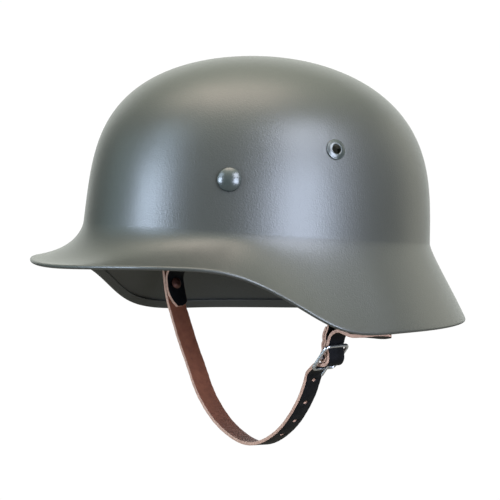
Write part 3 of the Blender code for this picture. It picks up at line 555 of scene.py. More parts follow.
def dome_share(height):
    return math.acos(height / DOME_HEIGHT) * 2 / math.pi


def outward_matrix(turn, height):
    """Placement on the dome's outside, with local Z straight out and local Y up along the wall."""
    share = dome_share(height)
    angle = np.array([turn])
    step = 0.001
    here = around(angle, *outside(angle, share))[0]
    beside = around(angle + step, *outside(angle + step, share))[0] - here
    below = around(angle, *outside(angle, share + step))[0] - here
    out = Vector(np.cross(below, beside)).normalized()
    side = Vector(beside).normalized()
    up = out.cross(side)
    place = Matrix.Translation(Vector(here)) @ Matrix((side, up, out)).transposed().to_4x4()
    return Matrix.Rotation(-SHELL_PITCH, 4, "X") @ place


def placed(points, matrix):
    return [tuple(matrix @ Vector(point)) for point in points]


def turned_mesh(profile, matrix, sides=ROUND_SIDES):
    """Points and faces of a solid of revolution about local Z from a list of (radius, height)."""
    points = []
    rows = []
    for radius, height in profile:
        if radius == 0:
            rows.append([len(points)])
            points.append((0, 0, height))
            continue
        rows.append(list(range(len(points), len(points) + sides)))
        for k in range(sides):
            angle = FULL_TURN * k / sides
            points.append((radius * math.cos(angle), radius * math.sin(angle), height))
    faces = []
    pairs = list(zip(rows, rows[1:], strict=False))
    if len(rows[0]) > 1:
        pairs.append((rows[-1], rows[0]))
    for first, second in pairs:
        if len(first) == 1:
            faces += [(first[0], second[k], second[(k + 1) % sides]) for k in range(sides)]
        elif len(second) == 1:
            faces += [(second[0], first[(k + 1) % sides], first[k]) for k in range(sides)]
        else:
            faces += band_faces(first, second)
    return placed(points, matrix), faces


def cap_profile(radius, rise, base):
    """Points of a stud's domed head from its centre top down to its edge."""
    ball = (radius**2 + rise**2) / (2 * rise)
    widest = math.asin(min(1, radius / ball))
    if rise > radius:
        widest = math.pi - widest
    profile = []
    for step in range(STUD_STEPS + 1):
        angle = widest * step / STUD_STEPS
        profile.append((ball * math.sin(angle), base + rise - ball * (1 - math.cos(angle))))
    return profile


def head_profile(radius, ball, edge, base, skirt):
    """Points of a pin's head from its centre top: part of a ball, a rounded edge and a low skirt."""
    meet = math.asin((radius - edge) / (ball - edge))
    centre = base + skirt - (ball - edge) * math.cos(meet)
    profile = []
    for step in range(HEAD_STEPS + 1):
        angle = meet * step / HEAD_STEPS
        profile.append((ball * math.sin(angle), centre + ball * math.cos(angle)))
    edge_steps = HEAD_STEPS // 2
    for step in range(1, edge_steps + 1):
        angle = meet + (math.pi / 2 - meet) * step / edge_steps
        profile.append((radius - edge + edge * math.sin(angle), base + skirt + edge * math.cos(angle)))
    return profile + [(radius, base)]


def round_cutter(matrix, radius, low, high, sides=ROUND_SIDES):
    return turned_mesh([(0, high), (radius, high), (radius, low), (0, low)], matrix, sides)


def shell_hole(shell, name, turn, height, radius):
    cut(shell, *round_cutter(outward_matrix(turn, height), radius, -CUTTER_REACH, CUTTER_REACH), name)


def joined(meshes):
    """One list of points and one of faces from several of each."""
    points = []
    faces = []
    for some_points, some_faces in meshes:
        start = len(points)
        points += list(some_points)
        faces += [tuple(number + start for number in face) for face in some_faces]
    return points, faces


def prong_leaf(side, depth, matrix):
    """One leaf of a split pin, bent over inside and lifted a little off the wall."""
    points = []
    for step in range(LEAF_STEPS + 1):
        share = step / LEAF_STEPS
        along = -PIN_SHANK_RADIUS / 2 + (PIN_PRONG_LENGTH + PIN_SHANK_RADIUS / 2) * share
        near_tip = max(0, share - PIN_TAPER_START) / (1 - PIN_TAPER_START)
        half = PIN_PRONG_WIDTH / 2 * (1 - PIN_TAPER_LOSS * near_tip)
        lift = along * math.tan(PIN_PRONG_LIFT) * share
        top = depth - max(0, lift)
        for across, height in ((-half, top), (half, top), (half, top - PIN_PRONG_THICKNESS),
                               (-half, top - PIN_PRONG_THICKNESS)):
            points.append((across, along * side, height))
    rings = [range(4 * k, 4 * k + 4) for k in range(LEAF_STEPS + 1)]
    faces = [tuple(rings[0])[::-1], tuple(rings[-1])]
    for first, second in zip(rings, rings[1:], strict=False):
        faces += band_faces(first, second)
    return placed(points, matrix), faces


def split_pin(name, turn, shell, finish):
    """Domed pin whose shank passes through the shell and spreads into two prongs inside."""
    matrix = outward_matrix(turn, PIN_HEIGHT)
    inside = -SHELL_WALL - SEAT_GAP
    shank_end = inside - PIN_PRONG_THICKNESS * 2
    profile = head_profile(PIN_HEAD_RADIUS, PIN_HEAD_BALL, PIN_HEAD_EDGE, SEAT_GAP, PIN_HEAD_SKIRT)
    profile += [(PIN_SHANK_RADIUS, SEAT_GAP), (PIN_SHANK_RADIUS, shank_end), (0, shank_end)]
    parts = [turned_mesh(profile, matrix)]
    parts += [prong_leaf(side, inside - SEAT_GAP, matrix) for side in (1, -1)]
    fitting(name, joined(parts), finish, "painted_fitting")
    shell_hole(shell, f"{name}_hole", turn, PIN_HEIGHT, PIN_SHANK_RADIUS + BORE_PLAY)


def vent_bushing(name, turn, shell, finish):
    """Eyelet with a lipped, gently domed flange outside and a clinched one inside."""
    barrel = VENT_BORE_RADIUS + VENT_BARREL_WALL
    inside = -SHELL_WALL - SEAT_GAP - VENT_SEAT
    crest = VENT_BORE_RADIUS + VENT_LIP
    edge = VENT_FLANGE_RADIUS - VENT_EDGE
    top = SEAT_GAP + VENT_FLANGE_RISE
    profile = [(VENT_BORE_RADIUS, inside - VENT_FLANGE_RISE * VENT_CLINCH_BORE)]
    for angle in np.linspace(math.pi, math.pi / 2, LIP_STEPS):
        profile.append((crest + VENT_LIP * math.cos(angle), top - VENT_LIP + VENT_LIP * math.sin(angle)))
    for share in np.linspace(0, 1, FLANGE_STEPS)[1:]:
        fall = (VENT_FLANGE_RISE - VENT_EDGE) * share**VENT_FALL_POWER
        profile.append((crest + (edge - crest) * share, top - fall))
    for angle in np.linspace(math.pi / 2, 0, BEAD_STEPS)[1:]:
        profile.append((edge + VENT_EDGE * math.cos(angle), SEAT_GAP + VENT_EDGE * math.sin(angle)))
    profile += [(barrel, SEAT_GAP), (barrel, inside), (VENT_CLINCH_RADIUS, inside)]
    across = (VENT_BORE_RADIUS + VENT_CLINCH_RADIUS) / 2
    reach = (VENT_CLINCH_RADIUS - VENT_BORE_RADIUS) / 2
    rise = VENT_FLANGE_RISE * VENT_CLINCH_CREST
    for angle in np.linspace(0, math.pi, LIP_STEPS)[1:-1]:
        profile.append((across + reach * math.cos(angle), inside - rise * math.sin(angle)))
    fitting(name, turned_mesh(profile, outward_matrix(turn, VENT_HEIGHT)), finish, "painted_fitting")
    shell_hole(shell, f"{name}_hole", turn, VENT_HEIGHT, barrel + BORE_PLAY)


def frames_along(path, widths):
    """Tangent, width and face directions at each point of a path."""
    tangents = np.gradient(path, axis=0)
    tangents /= np.linalg.norm(tangents, axis=1)[:, None]
    across = widths - tangents * np.sum(widths * tangents, axis=1)[:, None]
    across /= np.linalg.norm(across, axis=1)[:, None]
    return tangents, across, np.cross(tangents, across)


def rounded_corners(corners, radius, closed):
    """Path through corner points with each corner rounded by an arc."""
    corners = [Vector(corner) for corner in corners]
    count = len(corners)
    path = []
    for k, corner in enumerate(corners):
        if not closed and k in (0, count - 1):
            path.append(corner)
            continue
        before = (corners[k - 1] - corner).normalized()
        after = (corners[(k + 1) % count] - corner).normalized()
        half = before.angle(after) / 2
        centre = corner + (before + after).normalized() * radius / math.sin(half)
        start = corner + before * radius / math.tan(half) - centre
        end = corner + after * radius / math.tan(half) - centre
        for step in range(CORNER_STEPS + 1):
            path.append(centre + start.slerp(end, step / CORNER_STEPS).normalized() * radius)
    return np.array([tuple(point) for point in path])


def pitched(point):
    """World place of a point given in the shell's own level frame."""
    return np.array(Matrix.Rotation(-SHELL_PITCH, 3, "X") @ Vector(point))


def hanger_bar(side):
    return pitched((HANGER_SPAN * side, -HANGER_FORWARD, -HANGER_DROP))


def loop_place(along, drop):
    """World place on the strap's hanging plane, which turns a little as the strap slides on its bars."""
    return np.array([along, hanger_bar(1)[1] + STRAP_SLIDE * along / HANGER_SPAN, -drop])


def width_direction(turn, roll):
    turn = math.radians(turn)
    roll = math.radians(roll)
    return np.array([math.cos(turn) * math.cos(roll), math.sin(turn) * math.cos(roll), -math.sin(roll)])


def buckle_axes():
    """Centre of the middle bar, then the directions across the strap, up along it and outwards."""
    centre = loop_place(BUCKLE_ALONG * HANGER_SPAN, BUCKLE_DROP * LOOP_DEPTH)
    across = np.array([math.cos(BUCKLE_TURN), math.sin(BUCKLE_TURN), 0])
    level = np.array([math.sin(BUCKLE_TURN), -math.cos(BUCKLE_TURN), 0])
    upright = np.array([0, 0, 1])
    up = math.cos(BUCKLE_LEAN) * upright + math.sin(BUCKLE_LEAN) * level
    out = math.cos(BUCKLE_LEAN) * level - math.sin(BUCKLE_LEAN) * upright
    return centre, across, up, out


# Offsets of the strap layers from the middle of the buckle's wires.
LAYER_SPACING = STRAP_THICKNESS / 2 + SEAT_GAP + SHORT_STRAP_THICKNESS / 2
BEHIND_BAR = BUCKLE_WIRE_RADIUS + SEAT_GAP + WEAVE_PLAY + STRAP_THICKNESS / 2
SHORT_FOLD = BUCKLE_WIRE_RADIUS + SEAT_GAP + WEAVE_PLAY + SHORT_STRAP_THICKNESS / 2
OVER_FOLD = SHORT_FOLD + LAYER_SPACING
PRONG_OFFSET = BUCKLE_WIRE_RADIUS + SEAT_GAP + PRONG_RADIUS


def in_section(out_offset, up_offset):
    """World place in the buckle's middle section, from the centre of its middle bar."""
    centre, _, up, out = buckle_axes()
    return centre + out * out_offset + up * up_offset


def weave_angle():
    """Angle at which a strap crosses the buckle's plane between two of its bars."""
    return math.asin((OVER_FOLD + BEHIND_BAR) / (BUCKLE_LENGTH / 2))


def behind_end_bar(side, layer, shares):
    """Places behind the top bar (side 1) or the bottom one (side -1), as shares of the bend there."""
    reach = BEHIND_BAR + layer
    places = []
    for share in shares:
        angle = weave_angle() * share
        up = BUCKLE_LENGTH / 2 - reach * math.sin(angle)
        places.append(in_section(-reach * math.cos(angle), side * up))
    return places


def over_middle_bar(layer, shares):
    """Places over the middle bar, from share -1 of the bend below it to share 1 above it."""
    reach = OVER_FOLD - layer
    angles = [weave_angle() * share for share in shares]
    return [in_section(reach * math.cos(angle), reach * math.sin(angle)) for angle in angles]


def hanger_fold(side, slide, thickness):
    """Centre and radius of the loose fold that hangs on a hanger's bar, to the middle of the strap."""
    centre = hanger_bar(side) + pitched((0, slide, 0)) - (0, 0, FOLD_PLAY)
    return centre, HANGER_WIRE_RADIUS + SEAT_GAP + HANGER_PLAY + FOLD_PLAY + thickness / 2


def sampled(points, widths, fine_from, fine_to):
    """Samples of the smooth path through the points, finer between two of its points."""
    values = np.hstack([np.array(points), np.array(widths)])
    lengths = path_lengths(values[:, :3])
    fine = np.linspace(0, lengths[-1], ROUTE_SAMPLES * len(points))
    route = spline(lengths, values, fine)[:, :3]
    travelled = np.linalg.norm(np.diff(route, axis=0), axis=1)
    middles = (fine[1:] + fine[:-1]) / 2
    folded = (middles > lengths[fine_from]) & (middles < lengths[fine_to])
    steps = np.concatenate([[0], np.cumsum(travelled / np.where(folded, FOLD_STEP, STRAP_STEP))])
    count = max(2, round(steps[-1]))
    places = np.interp(np.linspace(0, steps[-1], count + 1), steps, fine)
    result = spline(lengths, values, places)
    return result[:, :3], result[:, 3:]


def path_lengths(path):
    """Distance travelled along a path at each of its points."""
    return np.concatenate([[0], np.cumsum(np.linalg.norm(np.diff(path, axis=0), axis=1))])


def smooth_share(value):
    value = min(1.0, max(0.0, value))
    return value * value * (3 - 2 * value)


def folded_tab(path, widths, span, merge, fold, spacing, inward):
    """Layer beside a path over a span of its length.

    It starts two fold radii away from the path and lies on it after the merge length.
    """
    tangents, across, _ = frames_along(path, widths)
    travelled = path_lengths(path)
    normals = np.cross(tangents, across)
    if np.dot(normals[0], inward) < 0:
        normals = -normals
    kept = [k for k in range(1, len(path)) if span[0] <= travelled[k] <= span[1]]
    layer = []
    for k in kept:
        share = smooth_share(travelled[k] / merge)
        layer.append(path[k] + normals[k] * (2 * fold + (spacing - 2 * fold) * share))
    return np.array(layer), across[kept]


def fold_arc(centre, start, top):
    """Half turn about a centre, from the offset start over top to the far side, without its ends."""
    return [centre + math.cos(a) * start + math.sin(a) * top for a in round_rows(ARC_STEPS, 0, math.pi)]


def long_strap_route():
    """The strap's middle line and widths: tab, fold round the hanger, loop, buckle and free end."""
    bar, fold = hanger_fold(-1, -STRAP_SLIDE, STRAP_THICKNESS)
    points = [bar + (-fold, 0, 0)]
    widths = [width_direction(LOOP_TABLE[0][2], math.degrees(SHELL_PITCH))]
    for along, drop, turn, roll in LOOP_TABLE:
        points.append(loop_place(along * HANGER_SPAN, drop * LOOP_DEPTH))
        widths.append(width_direction(turn, roll))
    fine_from = len(points) - 1
    weave = behind_end_bar(-1, 0, (0, 0.5, 1)) + over_middle_bar(0, (-1, -0.5, 0, 0.5, 1))
    weave += behind_end_bar(1, 0, (1, 0.5, 0))
    points += weave
    widths += [buckle_axes()[1]] * len(weave)
    fine_to = len(points) - 1
    leaving = points[-1]
    for left, back, rise, turn, roll in FREE_TABLE:
        points.append(leaving + np.array([left, back, rise]) * FREE_END)
        widths.append(width_direction(turn, roll))
    main, main_widths = sampled(points, widths, fine_from, fine_to)
    spacing = STRAP_THICKNESS + SEAT_GAP
    tab, tab_widths = folded_tab(main, main_widths, (0, TAB_LENGTH), TAB_MERGE, fold, spacing, (1, 0, 0))
    arc = fold_arc(bar, np.array([fold, 0, 0]), np.array([0, 0, fold]))
    path = np.vstack([tab[::-1], arc, main])
    arc_widths = np.repeat(main_widths[:1], len(arc), axis=0)
    return path, np.vstack([tab_widths[::-1], arc_widths, main_widths]), len(tab) + len(arc)


def short_strap_route():
    """The short strap from a tab, over the hanger, to the buckle's middle bar and back up."""
    bar, fold = hanger_fold(1, STRAP_SLIDE, SHORT_STRAP_THICKNESS)
    centre, across, up, out = buckle_axes()
    points = [bar + (fold, 0, 0)]
    widths = [width_direction(SHORT_TABLE[0][2], math.degrees(SHELL_PITCH))]
    for along, drop, turn, roll in SHORT_TABLE:
        points.append(loop_place(along * HANGER_SPAN, drop * LOOP_DEPTH))
        widths.append(width_direction(turn, roll))
    fine_from = len(points) - 1
    weave = behind_end_bar(1, LAYER_SPACING, (0, 0.5, 1)) + over_middle_bar(LAYER_SPACING, (1, 0.5, 0))
    points += weave
    widths += [across] * len(weave)
    main, main_widths = sampled(points, widths, fine_from, len(points) - 1)
    spacing = SHORT_STRAP_THICKNESS + SEAT_GAP
    inward = (-1, 0, 0)
    tab, tab_widths = folded_tab(main, main_widths, (0, SHORT_TAB_LENGTH), TAB_MERGE, fold, spacing, inward)
    seam_span = (SEAM_START, SEAM_LENGTH)
    seam, seam_widths = folded_tab(main[::-1], main_widths[::-1], seam_span, SEAM_START, 0, spacing, inward)
    over = fold_arc(bar, np.array([-fold, 0, 0]), np.array([0, 0, fold]))
    under = fold_arc(centre, out * SHORT_FOLD, -up * SHORT_FOLD) + [centre - out * SHORT_FOLD]
    path = np.vstack([tab[::-1], over, main, under, seam])
    spread = np.vstack([
        tab_widths[::-1],
        np.repeat(main_widths[:1], len(over), axis=0),
        main_widths,
        np.repeat(main_widths[-1:], len(under), axis=0),
        seam_widths,
    ])
    return path, spread, len(tab) + len(over)


def end_width(distance, taper):
    """Share of the full width at a distance from a tapered end."""
    if taper == 0 or distance >= taper:
        return 1.0
    near = 1 - distance / taper
    return 1 - (1 - TIP_BLUNTNESS) * near * near


def tube_mesh(path, radius, widths, closed=False, sides=WIRE_SIDES):
    """Points and faces of a round wire along a path, with rounded ends where it is open."""
    path = np.asarray(path, float)
    radii = np.full(len(path), radius)
    if not closed:
        path, radii = with_round_ends(path, radius)
    widths = np.broadcast_to(widths, path.shape)
    if closed:
        ring = np.vstack([path[-1:], path, path[:1]])
        frames = frames_along(ring, np.vstack([widths[-1:], widths, widths[:1]]))
        across, out = frames[1][1:-1], frames[2][1:-1]
    else:
        across, out = frames_along(path, widths)[1:]
    angles = np.arange(sides) * FULL_TURN / sides
    spokes = np.cos(angles)[None, :, None] * across[:, None] + np.sin(angles)[None, :, None] * out[:, None]
    points = (path[:, None] + radii[:, None, None] * spokes).reshape(-1, 3)
    rings = [range(k * sides, (k + 1) * sides) for k in range(len(path))]
    faces = []
    for k in range(len(path) if closed else len(path) - 1):
        faces += band_faces(rings[k], rings[(k + 1) % len(path)])
    if not closed:
        faces += [tuple(rings[0])[::-1], tuple(rings[-1])]
    return list(points), faces


def with_round_ends(path, radius):
    """A path whose last stretches at both ends carry radii that close in a half ball."""
    first = (path[0] - path[1]) / np.linalg.norm(path[0] - path[1])
    last = (path[-1] - path[-2]) / np.linalg.norm(path[-1] - path[-2])
    angles = np.linspace(math.pi / 2 * END_CLOSING, 0, END_STEPS)
    head = [path[0] + first * radius * (math.sin(angle) - 1) for angle in angles]
    tail = [path[-1] + last * radius * (math.sin(angle) - 1) for angle in angles[::-1]]
    ends = [radius * math.cos(angle) for angle in angles]
    middle = [point for point in path[1:-1]
              if min(np.linalg.norm(point - path[0]), np.linalg.norm(point - path[-1])) > radius]
    radii = ends + [radius] * len(middle) + ends[::-1]
    return np.array(head + middle + tail), np.array(radii)


def hanger_pad(side):
    """Points and faces of the pad that lies against the inner wall, its wall side first."""
    pad_half = HANGER_INNER_WIDTH / 2 + HANGER_WIRE_RADIUS + HANGER_PAD_MARGIN
    middle = math.atan2(HANGER_SPAN, HANGER_FORWARD)
    spread = pad_half / WAIST_SIDE
    turns = np.linspace(middle - spread, middle + spread, PAD_COLUMNS)
    heights = [HANGER_PAD_BOTTOM + HANGER_PAD_HEIGHT * row / PAD_ROWS for row in range(PAD_ROWS + 1)]
    shares = [dome_share(height) for height in heights]
    near = SHELL_WALL + SEAT_GAP + FACET_SAG
    points = []
    for depth in (near, near + HANGER_PAD_THICKNESS):
        for share in shares:
            points.extend(around(turns, *sunk(turns, share, depth)))
    points = np.array(points) * (side, 1, 1)
    columns = len(turns)
    layer = columns * len(shares)
    faces = []
    for row in range(len(shares) - 1):
        for k in range(columns - 1):
            here = row * columns + k
            quad = (here, here + 1, here + 1 + columns, here + columns)
            faces += [quad, tuple(number + layer for number in reversed(quad))]
    border = list(range(columns)) + [columns * (row + 1) - 1 for row in range(1, len(shares) - 1)]
    border += list(range(layer - 1, layer - columns - 1, -1))
    border += [columns * row for row in range(len(shares) - 2, 0, -1)]
    faces += [
        (border[k], border[(k + 1) % len(border)], border[(k + 1) % len(border)] + layer, border[k] + layer)
        for k in range(len(border))
    ]
    return points, faces


def hanger(name, side, finish):
    """Pad with a wire loop that carries the strap."""
    points, faces = hanger_pad(side)
    wall = np.abs(points[:PAD_COLUMNS, 0]).min()
    leg = (wall - HANGER_PAD_THICKNESS + HANGER_WIRE_RADIUS * HANGER_LEG_SINK) * side
    half = HANGER_INNER_WIDTH / 2 + HANGER_WIRE_RADIUS
    top = HANGER_PAD_BOTTOM + HANGER_PAD_HEIGHT / 2
    bar = HANGER_SPAN * side
    corners = [
        (leg, -HANGER_FORWARD - half, top),
        (bar, -HANGER_FORWARD - half, -HANGER_DROP),
        (bar, -HANGER_FORWARD + half, -HANGER_DROP),
        (leg, -HANGER_FORWARD + half, top),
    ]
    path = rounded_corners(corners, HANGER_CORNER, closed=False)
    wire = tube_mesh(path, HANGER_WIRE_RADIUS, (side, 0.0, 0.0))
    points, faces = joined([(points, faces), wire])
    fitting(name, (pitched_all(points), faces), finish, "painted_fitting")


def strap_section(thickness):
    """Section of a strap for a half width of 1: (side, inset, height, finish of the next face)."""
    reach = thickness / 2
    rounding = EDGE_ROUNDING
    angles = [math.pi / 2 * step / ROUNDING_STEPS for step in range(ROUNDING_STEPS + 1)]
    right = []
    for angle in reversed(angles):
        height = reach - rounding + rounding * math.sin(angle)
        right.append((rounding * (1 - math.cos(angle)), height, CUT_EDGE))
    right[0] = (*right[0][:2], GRAIN)
    right.append((-EDGE_BULGE, 0.0, CUT_EDGE))
    for angle in angles:
        height = -reach + rounding - rounding * math.sin(angle)
        right.append((rounding * (1 - math.cos(angle)), height, CUT_EDGE))
    right[-1] = (*right[-1][:2], FLESH)
    section = [(1, inset, height, finish) for inset, height, finish in right]
    left = []
    for k, (inset, height, _) in enumerate(reversed(right)):
        finish = GRAIN if k >= len(right) - 2 else CUT_EDGE
        left.append((-1, inset, height, finish))
    return section + left


def cut_wander(distance, phase):
    """Small wander of a hand-cut edge at a distance along the strap."""
    waves = [math.sin(FULL_TURN * distance / wave + phase + start) for wave, start in CUT_WAVES]
    return CUT_WANDER * sum(waves)


def strap_piece(name, path, widths, thickness, tapers, grain_side, finishes, node):
    """Leather strap: black grain on one face, brown flesh on the other and tan cut edges."""
    _, across, out = frames_along(path, widths)
    travelled = path_lengths(path)
    section = strap_section(thickness)
    points = []
    for k, centre in enumerate(path):
        halves = {}
        for side, first, last in ((-1, tapers[0][0], tapers[1][0]), (1, tapers[0][1], tapers[1][1])):
            share = end_width(travelled[k], first) * end_width(travelled[-1] - travelled[k], last)
            halves[side] = STRAP_WIDTH / 2 * share - CUT_WANDER + cut_wander(travelled[k], side)
        for side, inset, height, _ in section:
            place = centre + across[k] * side * (halves[side] - inset) + out[k] * height * grain_side
            points.append(place)
    count = len(section)
    rings = [range(count * k, count * (k + 1)) for k in range(len(path))]
    faces = [tuple(rings[0])[::-1], tuple(rings[-1])]
    slots = [CUT_EDGE, CUT_EDGE]
    kinds = [finish for *_, finish in section]
    for first, second in zip(rings, rings[1:], strict=False):
        faces += band_faces(first, second)
        slots += kinds
    return new_object(name, points, faces, slots, finishes, node, "black_leather")


def axes_matrix(place, side, up, out):
    columns = Matrix((Vector(side), Vector(up), Vector(out))).transposed()
    return Matrix.Translation(Vector(place)) @ columns.to_4x4()


def matrix_on_path(path, widths, distance, start):
    """Placement on a path at a distance after one of its points, local Z out of the strap's face."""
    travelled = path_lengths(path)
    wanted = travelled[start] + distance
    tangents, across, out = frames_along(path, widths)
    place, along, side, face = [
        np.array([np.interp(wanted, travelled, column) for column in rows.T])
        for rows in (path, tangents, across, out)
    ]
    return axes_matrix(place, side, -along, face)


def strap_stud(name, strap_object, matrix, thickness, towards, finish, hole_finish):
    """Stud through both layers of a fold, with a domed head on each face."""
    if Vector(matrix.col[2][:3]).dot(Vector(towards)) < 0:
        matrix = matrix @ Matrix.Rotation(math.pi, 4, "X")
    play = SEAT_GAP + STUD_PLAY
    low = -thickness / 2 - play
    high = thickness * 1.5 + SEAT_GAP + play
    profile = cap_profile(STUD_HEAD_RADIUS, STUD_HEAD_RISE, high)
    profile += [(STUD_SHANK_RADIUS, high), (STUD_SHANK_RADIUS, low)]
    under = cap_profile(STUD_HEAD_RADIUS, STUD_HEAD_RISE, -low)
    profile += [(radius, -height) for radius, height in reversed(under)]
    fitting(name, turned_mesh(profile, matrix, STUD_SIDES), finish, "brown_metal")
    hole = STUD_SHANK_RADIUS + BORE_PLAY
    cutter = round_cutter(matrix, hole, low * 2, high + thickness / 2, HOLE_SIDES)
    cut(strap_object, *cutter, f"{name}_hole", hole_finish)


def buckle_pieces(finish):
    centre, across, up, out = buckle_axes()
    wide = across * BUCKLE_WIDTH / 2
    tall = up * BUCKLE_LENGTH / 2
    corners = [centre + tall - wide, centre + tall + wide, centre - tall + wide, centre - tall - wide]
    path = rounded_corners(corners, BUCKLE_CORNER, closed=True)
    ring = tube_mesh(path, BUCKLE_WIRE_RADIUS, np.cross(across, up), closed=True)
    bar_path = [centre + wide * share for share in np.linspace(-1, 1, BAR_STEPS)]
    bar = tube_mesh(bar_path, BUCKLE_WIRE_RADIUS, out)
    fitting("buckle_frame", joined([ring, bar]), finish, "bare_steel")
    fitting("buckle_prong", tube_mesh(prong_route(), PRONG_RADIUS, across), finish, "bare_steel")


def prong_route():
    """Eye round the middle bar, then straight over the lower bar to the tip."""
    centre, _, up, out = buckle_axes()
    turns = np.linspace(PRONG_EYE_TURN, 0, EYE_STEPS)
    eye = [centre + PRONG_OFFSET * (out * math.cos(turn) + up * math.sin(turn)) for turn in turns]
    run = BUCKLE_LENGTH / 2 + PRONG_OVERHANG
    shares = np.linspace(PRONG_SHAFT_START, 1.0, SHAFT_STEPS)
    shaft = [centre + out * PRONG_OFFSET - up * run * share for share in shares]
    return np.array(eye + shaft)


def prong_slot(short_strap, finish):
    """Slot in the short strap's fold that the prong's eye sits in."""
    centre, across, up, out = buckle_axes()
    reach = PRONG_OFFSET + PRONG_RADIUS + PRONG_SLOT_MARGIN
    half = PRONG_SLOT / 2
    points = []
    for high in (-reach, reach):
        for wide, deep in ((-half, -reach), (half, -reach), (half, reach), (-half, reach)):
            points.append(centre + across * wide + out * deep + up * high)
    cut(short_strap, points, BOX_FACES, "prong_slot", finish)


def adjusting_holes(long_strap, path, widths, start, finish):
    travelled = path_lengths(path)
    below = np.linalg.norm(path - in_section(0, -BUCKLE_LENGTH / 2), axis=1).argmin()
    for k in range(HOLE_COUNT):
        distance = travelled[below] - travelled[start] - HOLE_FIRST - HOLE_PITCH * k
        place = matrix_on_path(path, widths, distance, start)
        cutter = round_cutter(place, HOLE_RADIUS, -STRAP_THICKNESS, STRAP_THICKNESS, HOLE_SIDES)
        cut(long_strap, *cutter, f"adjusting_hole_{k}", finish)


def strap_pieces(leathers, stud_finish):
    """Both straps with their holes and studs."""
    edge = leathers[CUT_EDGE]
    path, widths, start = long_strap_route()
    long_strap = strap_piece("chin_strap_long_piece", path, widths, STRAP_THICKNESS, (TAB_TIP, FREE_TIP), -1,
                             leathers, "chin_strap_long")
    stud_place = matrix_on_path(path, widths, STUD_PLACE, start)
    strap_stud("strap_stud_right", long_strap, stud_place, STRAP_THICKNESS, (1, 0, 0), stud_finish, edge)
    short_path, short_widths, short_start = short_strap_route()
    short_strap = strap_piece("chin_strap_short_piece", short_path, short_widths, SHORT_STRAP_THICKNESS,
                              ((0, 0), (0, 0)), 1, leathers, "chin_strap_short")
    stud_place = matrix_on_path(short_path, short_widths, STUD_PLACE, short_start)
    towards = (-1, 0, 0)
    strap_stud("strap_stud_left", short_strap, stud_place, SHORT_STRAP_THICKNESS, towards, stud_finish, edge)
    prong_slot(short_strap, edge)
    centre, across, up, out = buckle_axes()
    prong_axis = axes_matrix(centre + out * PRONG_OFFSET, across, out, -up)
    cutter = round_cutter(prong_axis, PRONG_RADIUS + PRONG_HOLE_PLAY, 0, BUCKLE_LENGTH / 2, HOLE_SIDES)
    cut(long_strap, *cutter, "prong_hole", edge)
    adjusting_holes(long_strap, path, widths, start, edge)


def fill_ramp(ramp, stops):
    """Give a colour ramp its stops, each a position and a colour."""
    while len(ramp.elements) < len(stops):
        ramp.elements.new(0.5)
    for element, (position, colour) in zip(ramp.elements, stops, strict=True):
        element.position = position
        element.color = (*colour, 1)


def set_inputs(node, settings):
    for name, value in settings.items():
        node.inputs[name].default_value = value


def noise(scale, detail, roughness=0.5):
    """A noise pattern: its kind of node, the output that is read and the node's settings."""
    return "ShaderNodeTexNoise", "Fac", {"Scale": scale, "Detail": detail, "Roughness": roughness}


def cells(scale):
    """A pattern of small cells, in the same three values."""
    return "ShaderNodeTexVoronoi", "Distance", {"Scale": scale}


def procedural(name, colour, roughness, bumps, settings):
    """Material whose colour, roughness and bumps follow patterns through the object.

    The colour is a pattern and the stops of its ramp, the roughness a pattern with the lowest and
    highest value, and each bump a pattern and its height. The settings are the shader's own.
    """
    made = bpy.data.materials.new(name)
    made.use_nodes = True
    nodes = made.node_tree.nodes
    link = made.node_tree.links.new
    shader = nodes["Principled BSDF"]
    set_inputs(shader, settings)
    place = nodes.new("ShaderNodeTexCoord")

    def pattern(kind, output, values):
        node = nodes.new(kind)
        set_inputs(node, values)
        link(place.outputs["Object"], node.inputs["Vector"])
        return node.outputs[output]

    ramp = nodes.new("ShaderNodeValToRGB")
    fill_ramp(ramp.color_ramp, colour[1:])
    link(pattern(*colour[0]), ramp.inputs["Fac"])
    link(ramp.outputs["Color"], shader.inputs["Base Color"])
    spread = nodes.new("ShaderNodeMapRange")
    set_inputs(spread, {"To Min": roughness[1], "To Max": roughness[2]})
    link(pattern(*roughness[0]), spread.inputs["Value"])
    link(spread.outputs["Result"], shader.inputs["Roughness"])
    normal = None
    for layer, height in bumps:
        bump = nodes.new("ShaderNodeBump")
        set_inputs(bump, {"Strength": 1.0, "Distance": height})
        link(pattern(*layer), bump.inputs["Height"])
        if normal:
            link(normal, bump.inputs["Normal"])
        normal = bump.outputs["Normal"]
    if normal:
        link(normal, shader.inputs["Normal"])
    return made


def satin_paint(name, dark, light, rough, speckle):
    """Grey-green satin paint with a fine sprayed speckle."""
    return procedural(
        name,
        colour=(noise(1500, 2), (0.30, dark), (0.70, light)),
        roughness=(noise(60, 3), rough - 0.02, rough + 0.02),
        bumps=((noise(950, 3, 0.6), speckle), (noise(28, 1), 0.00010)),
        settings={"Specular IOR Level": 0.5},
    )


def grain_leather():
    """Black finished side of the leather."""
    return procedural(
        "leather_grain",
        colour=(noise(260, 4), (0.35, (0.0020, 0.0020, 0.0026)), (0.75, (0.0048, 0.0046, 0.0056))),
        roughness=(noise(420, 3), 0.48, 0.66),
        bumps=((cells(1300), 0.00006), (noise(500, 4), 0.00008)),
        settings={"Specular IOR Level": 0.07},
    )


def flesh_leather():
    """Brown split side of the leather, dull and slightly napped."""
    return procedural(
        "leather_flesh",
        colour=(noise(210, 6, 0.65), (0.25, (0.108, 0.034, 0.018)), (0.75, (0.178, 0.058, 0.030))),
        roughness=(noise(900, 2), 0.72, 0.90),
        bumps=((noise(1600, 4, 0.7), 0.00005),),
        settings={"Specular IOR Level": 0.20, "Sheen Weight": 0.05},
    )


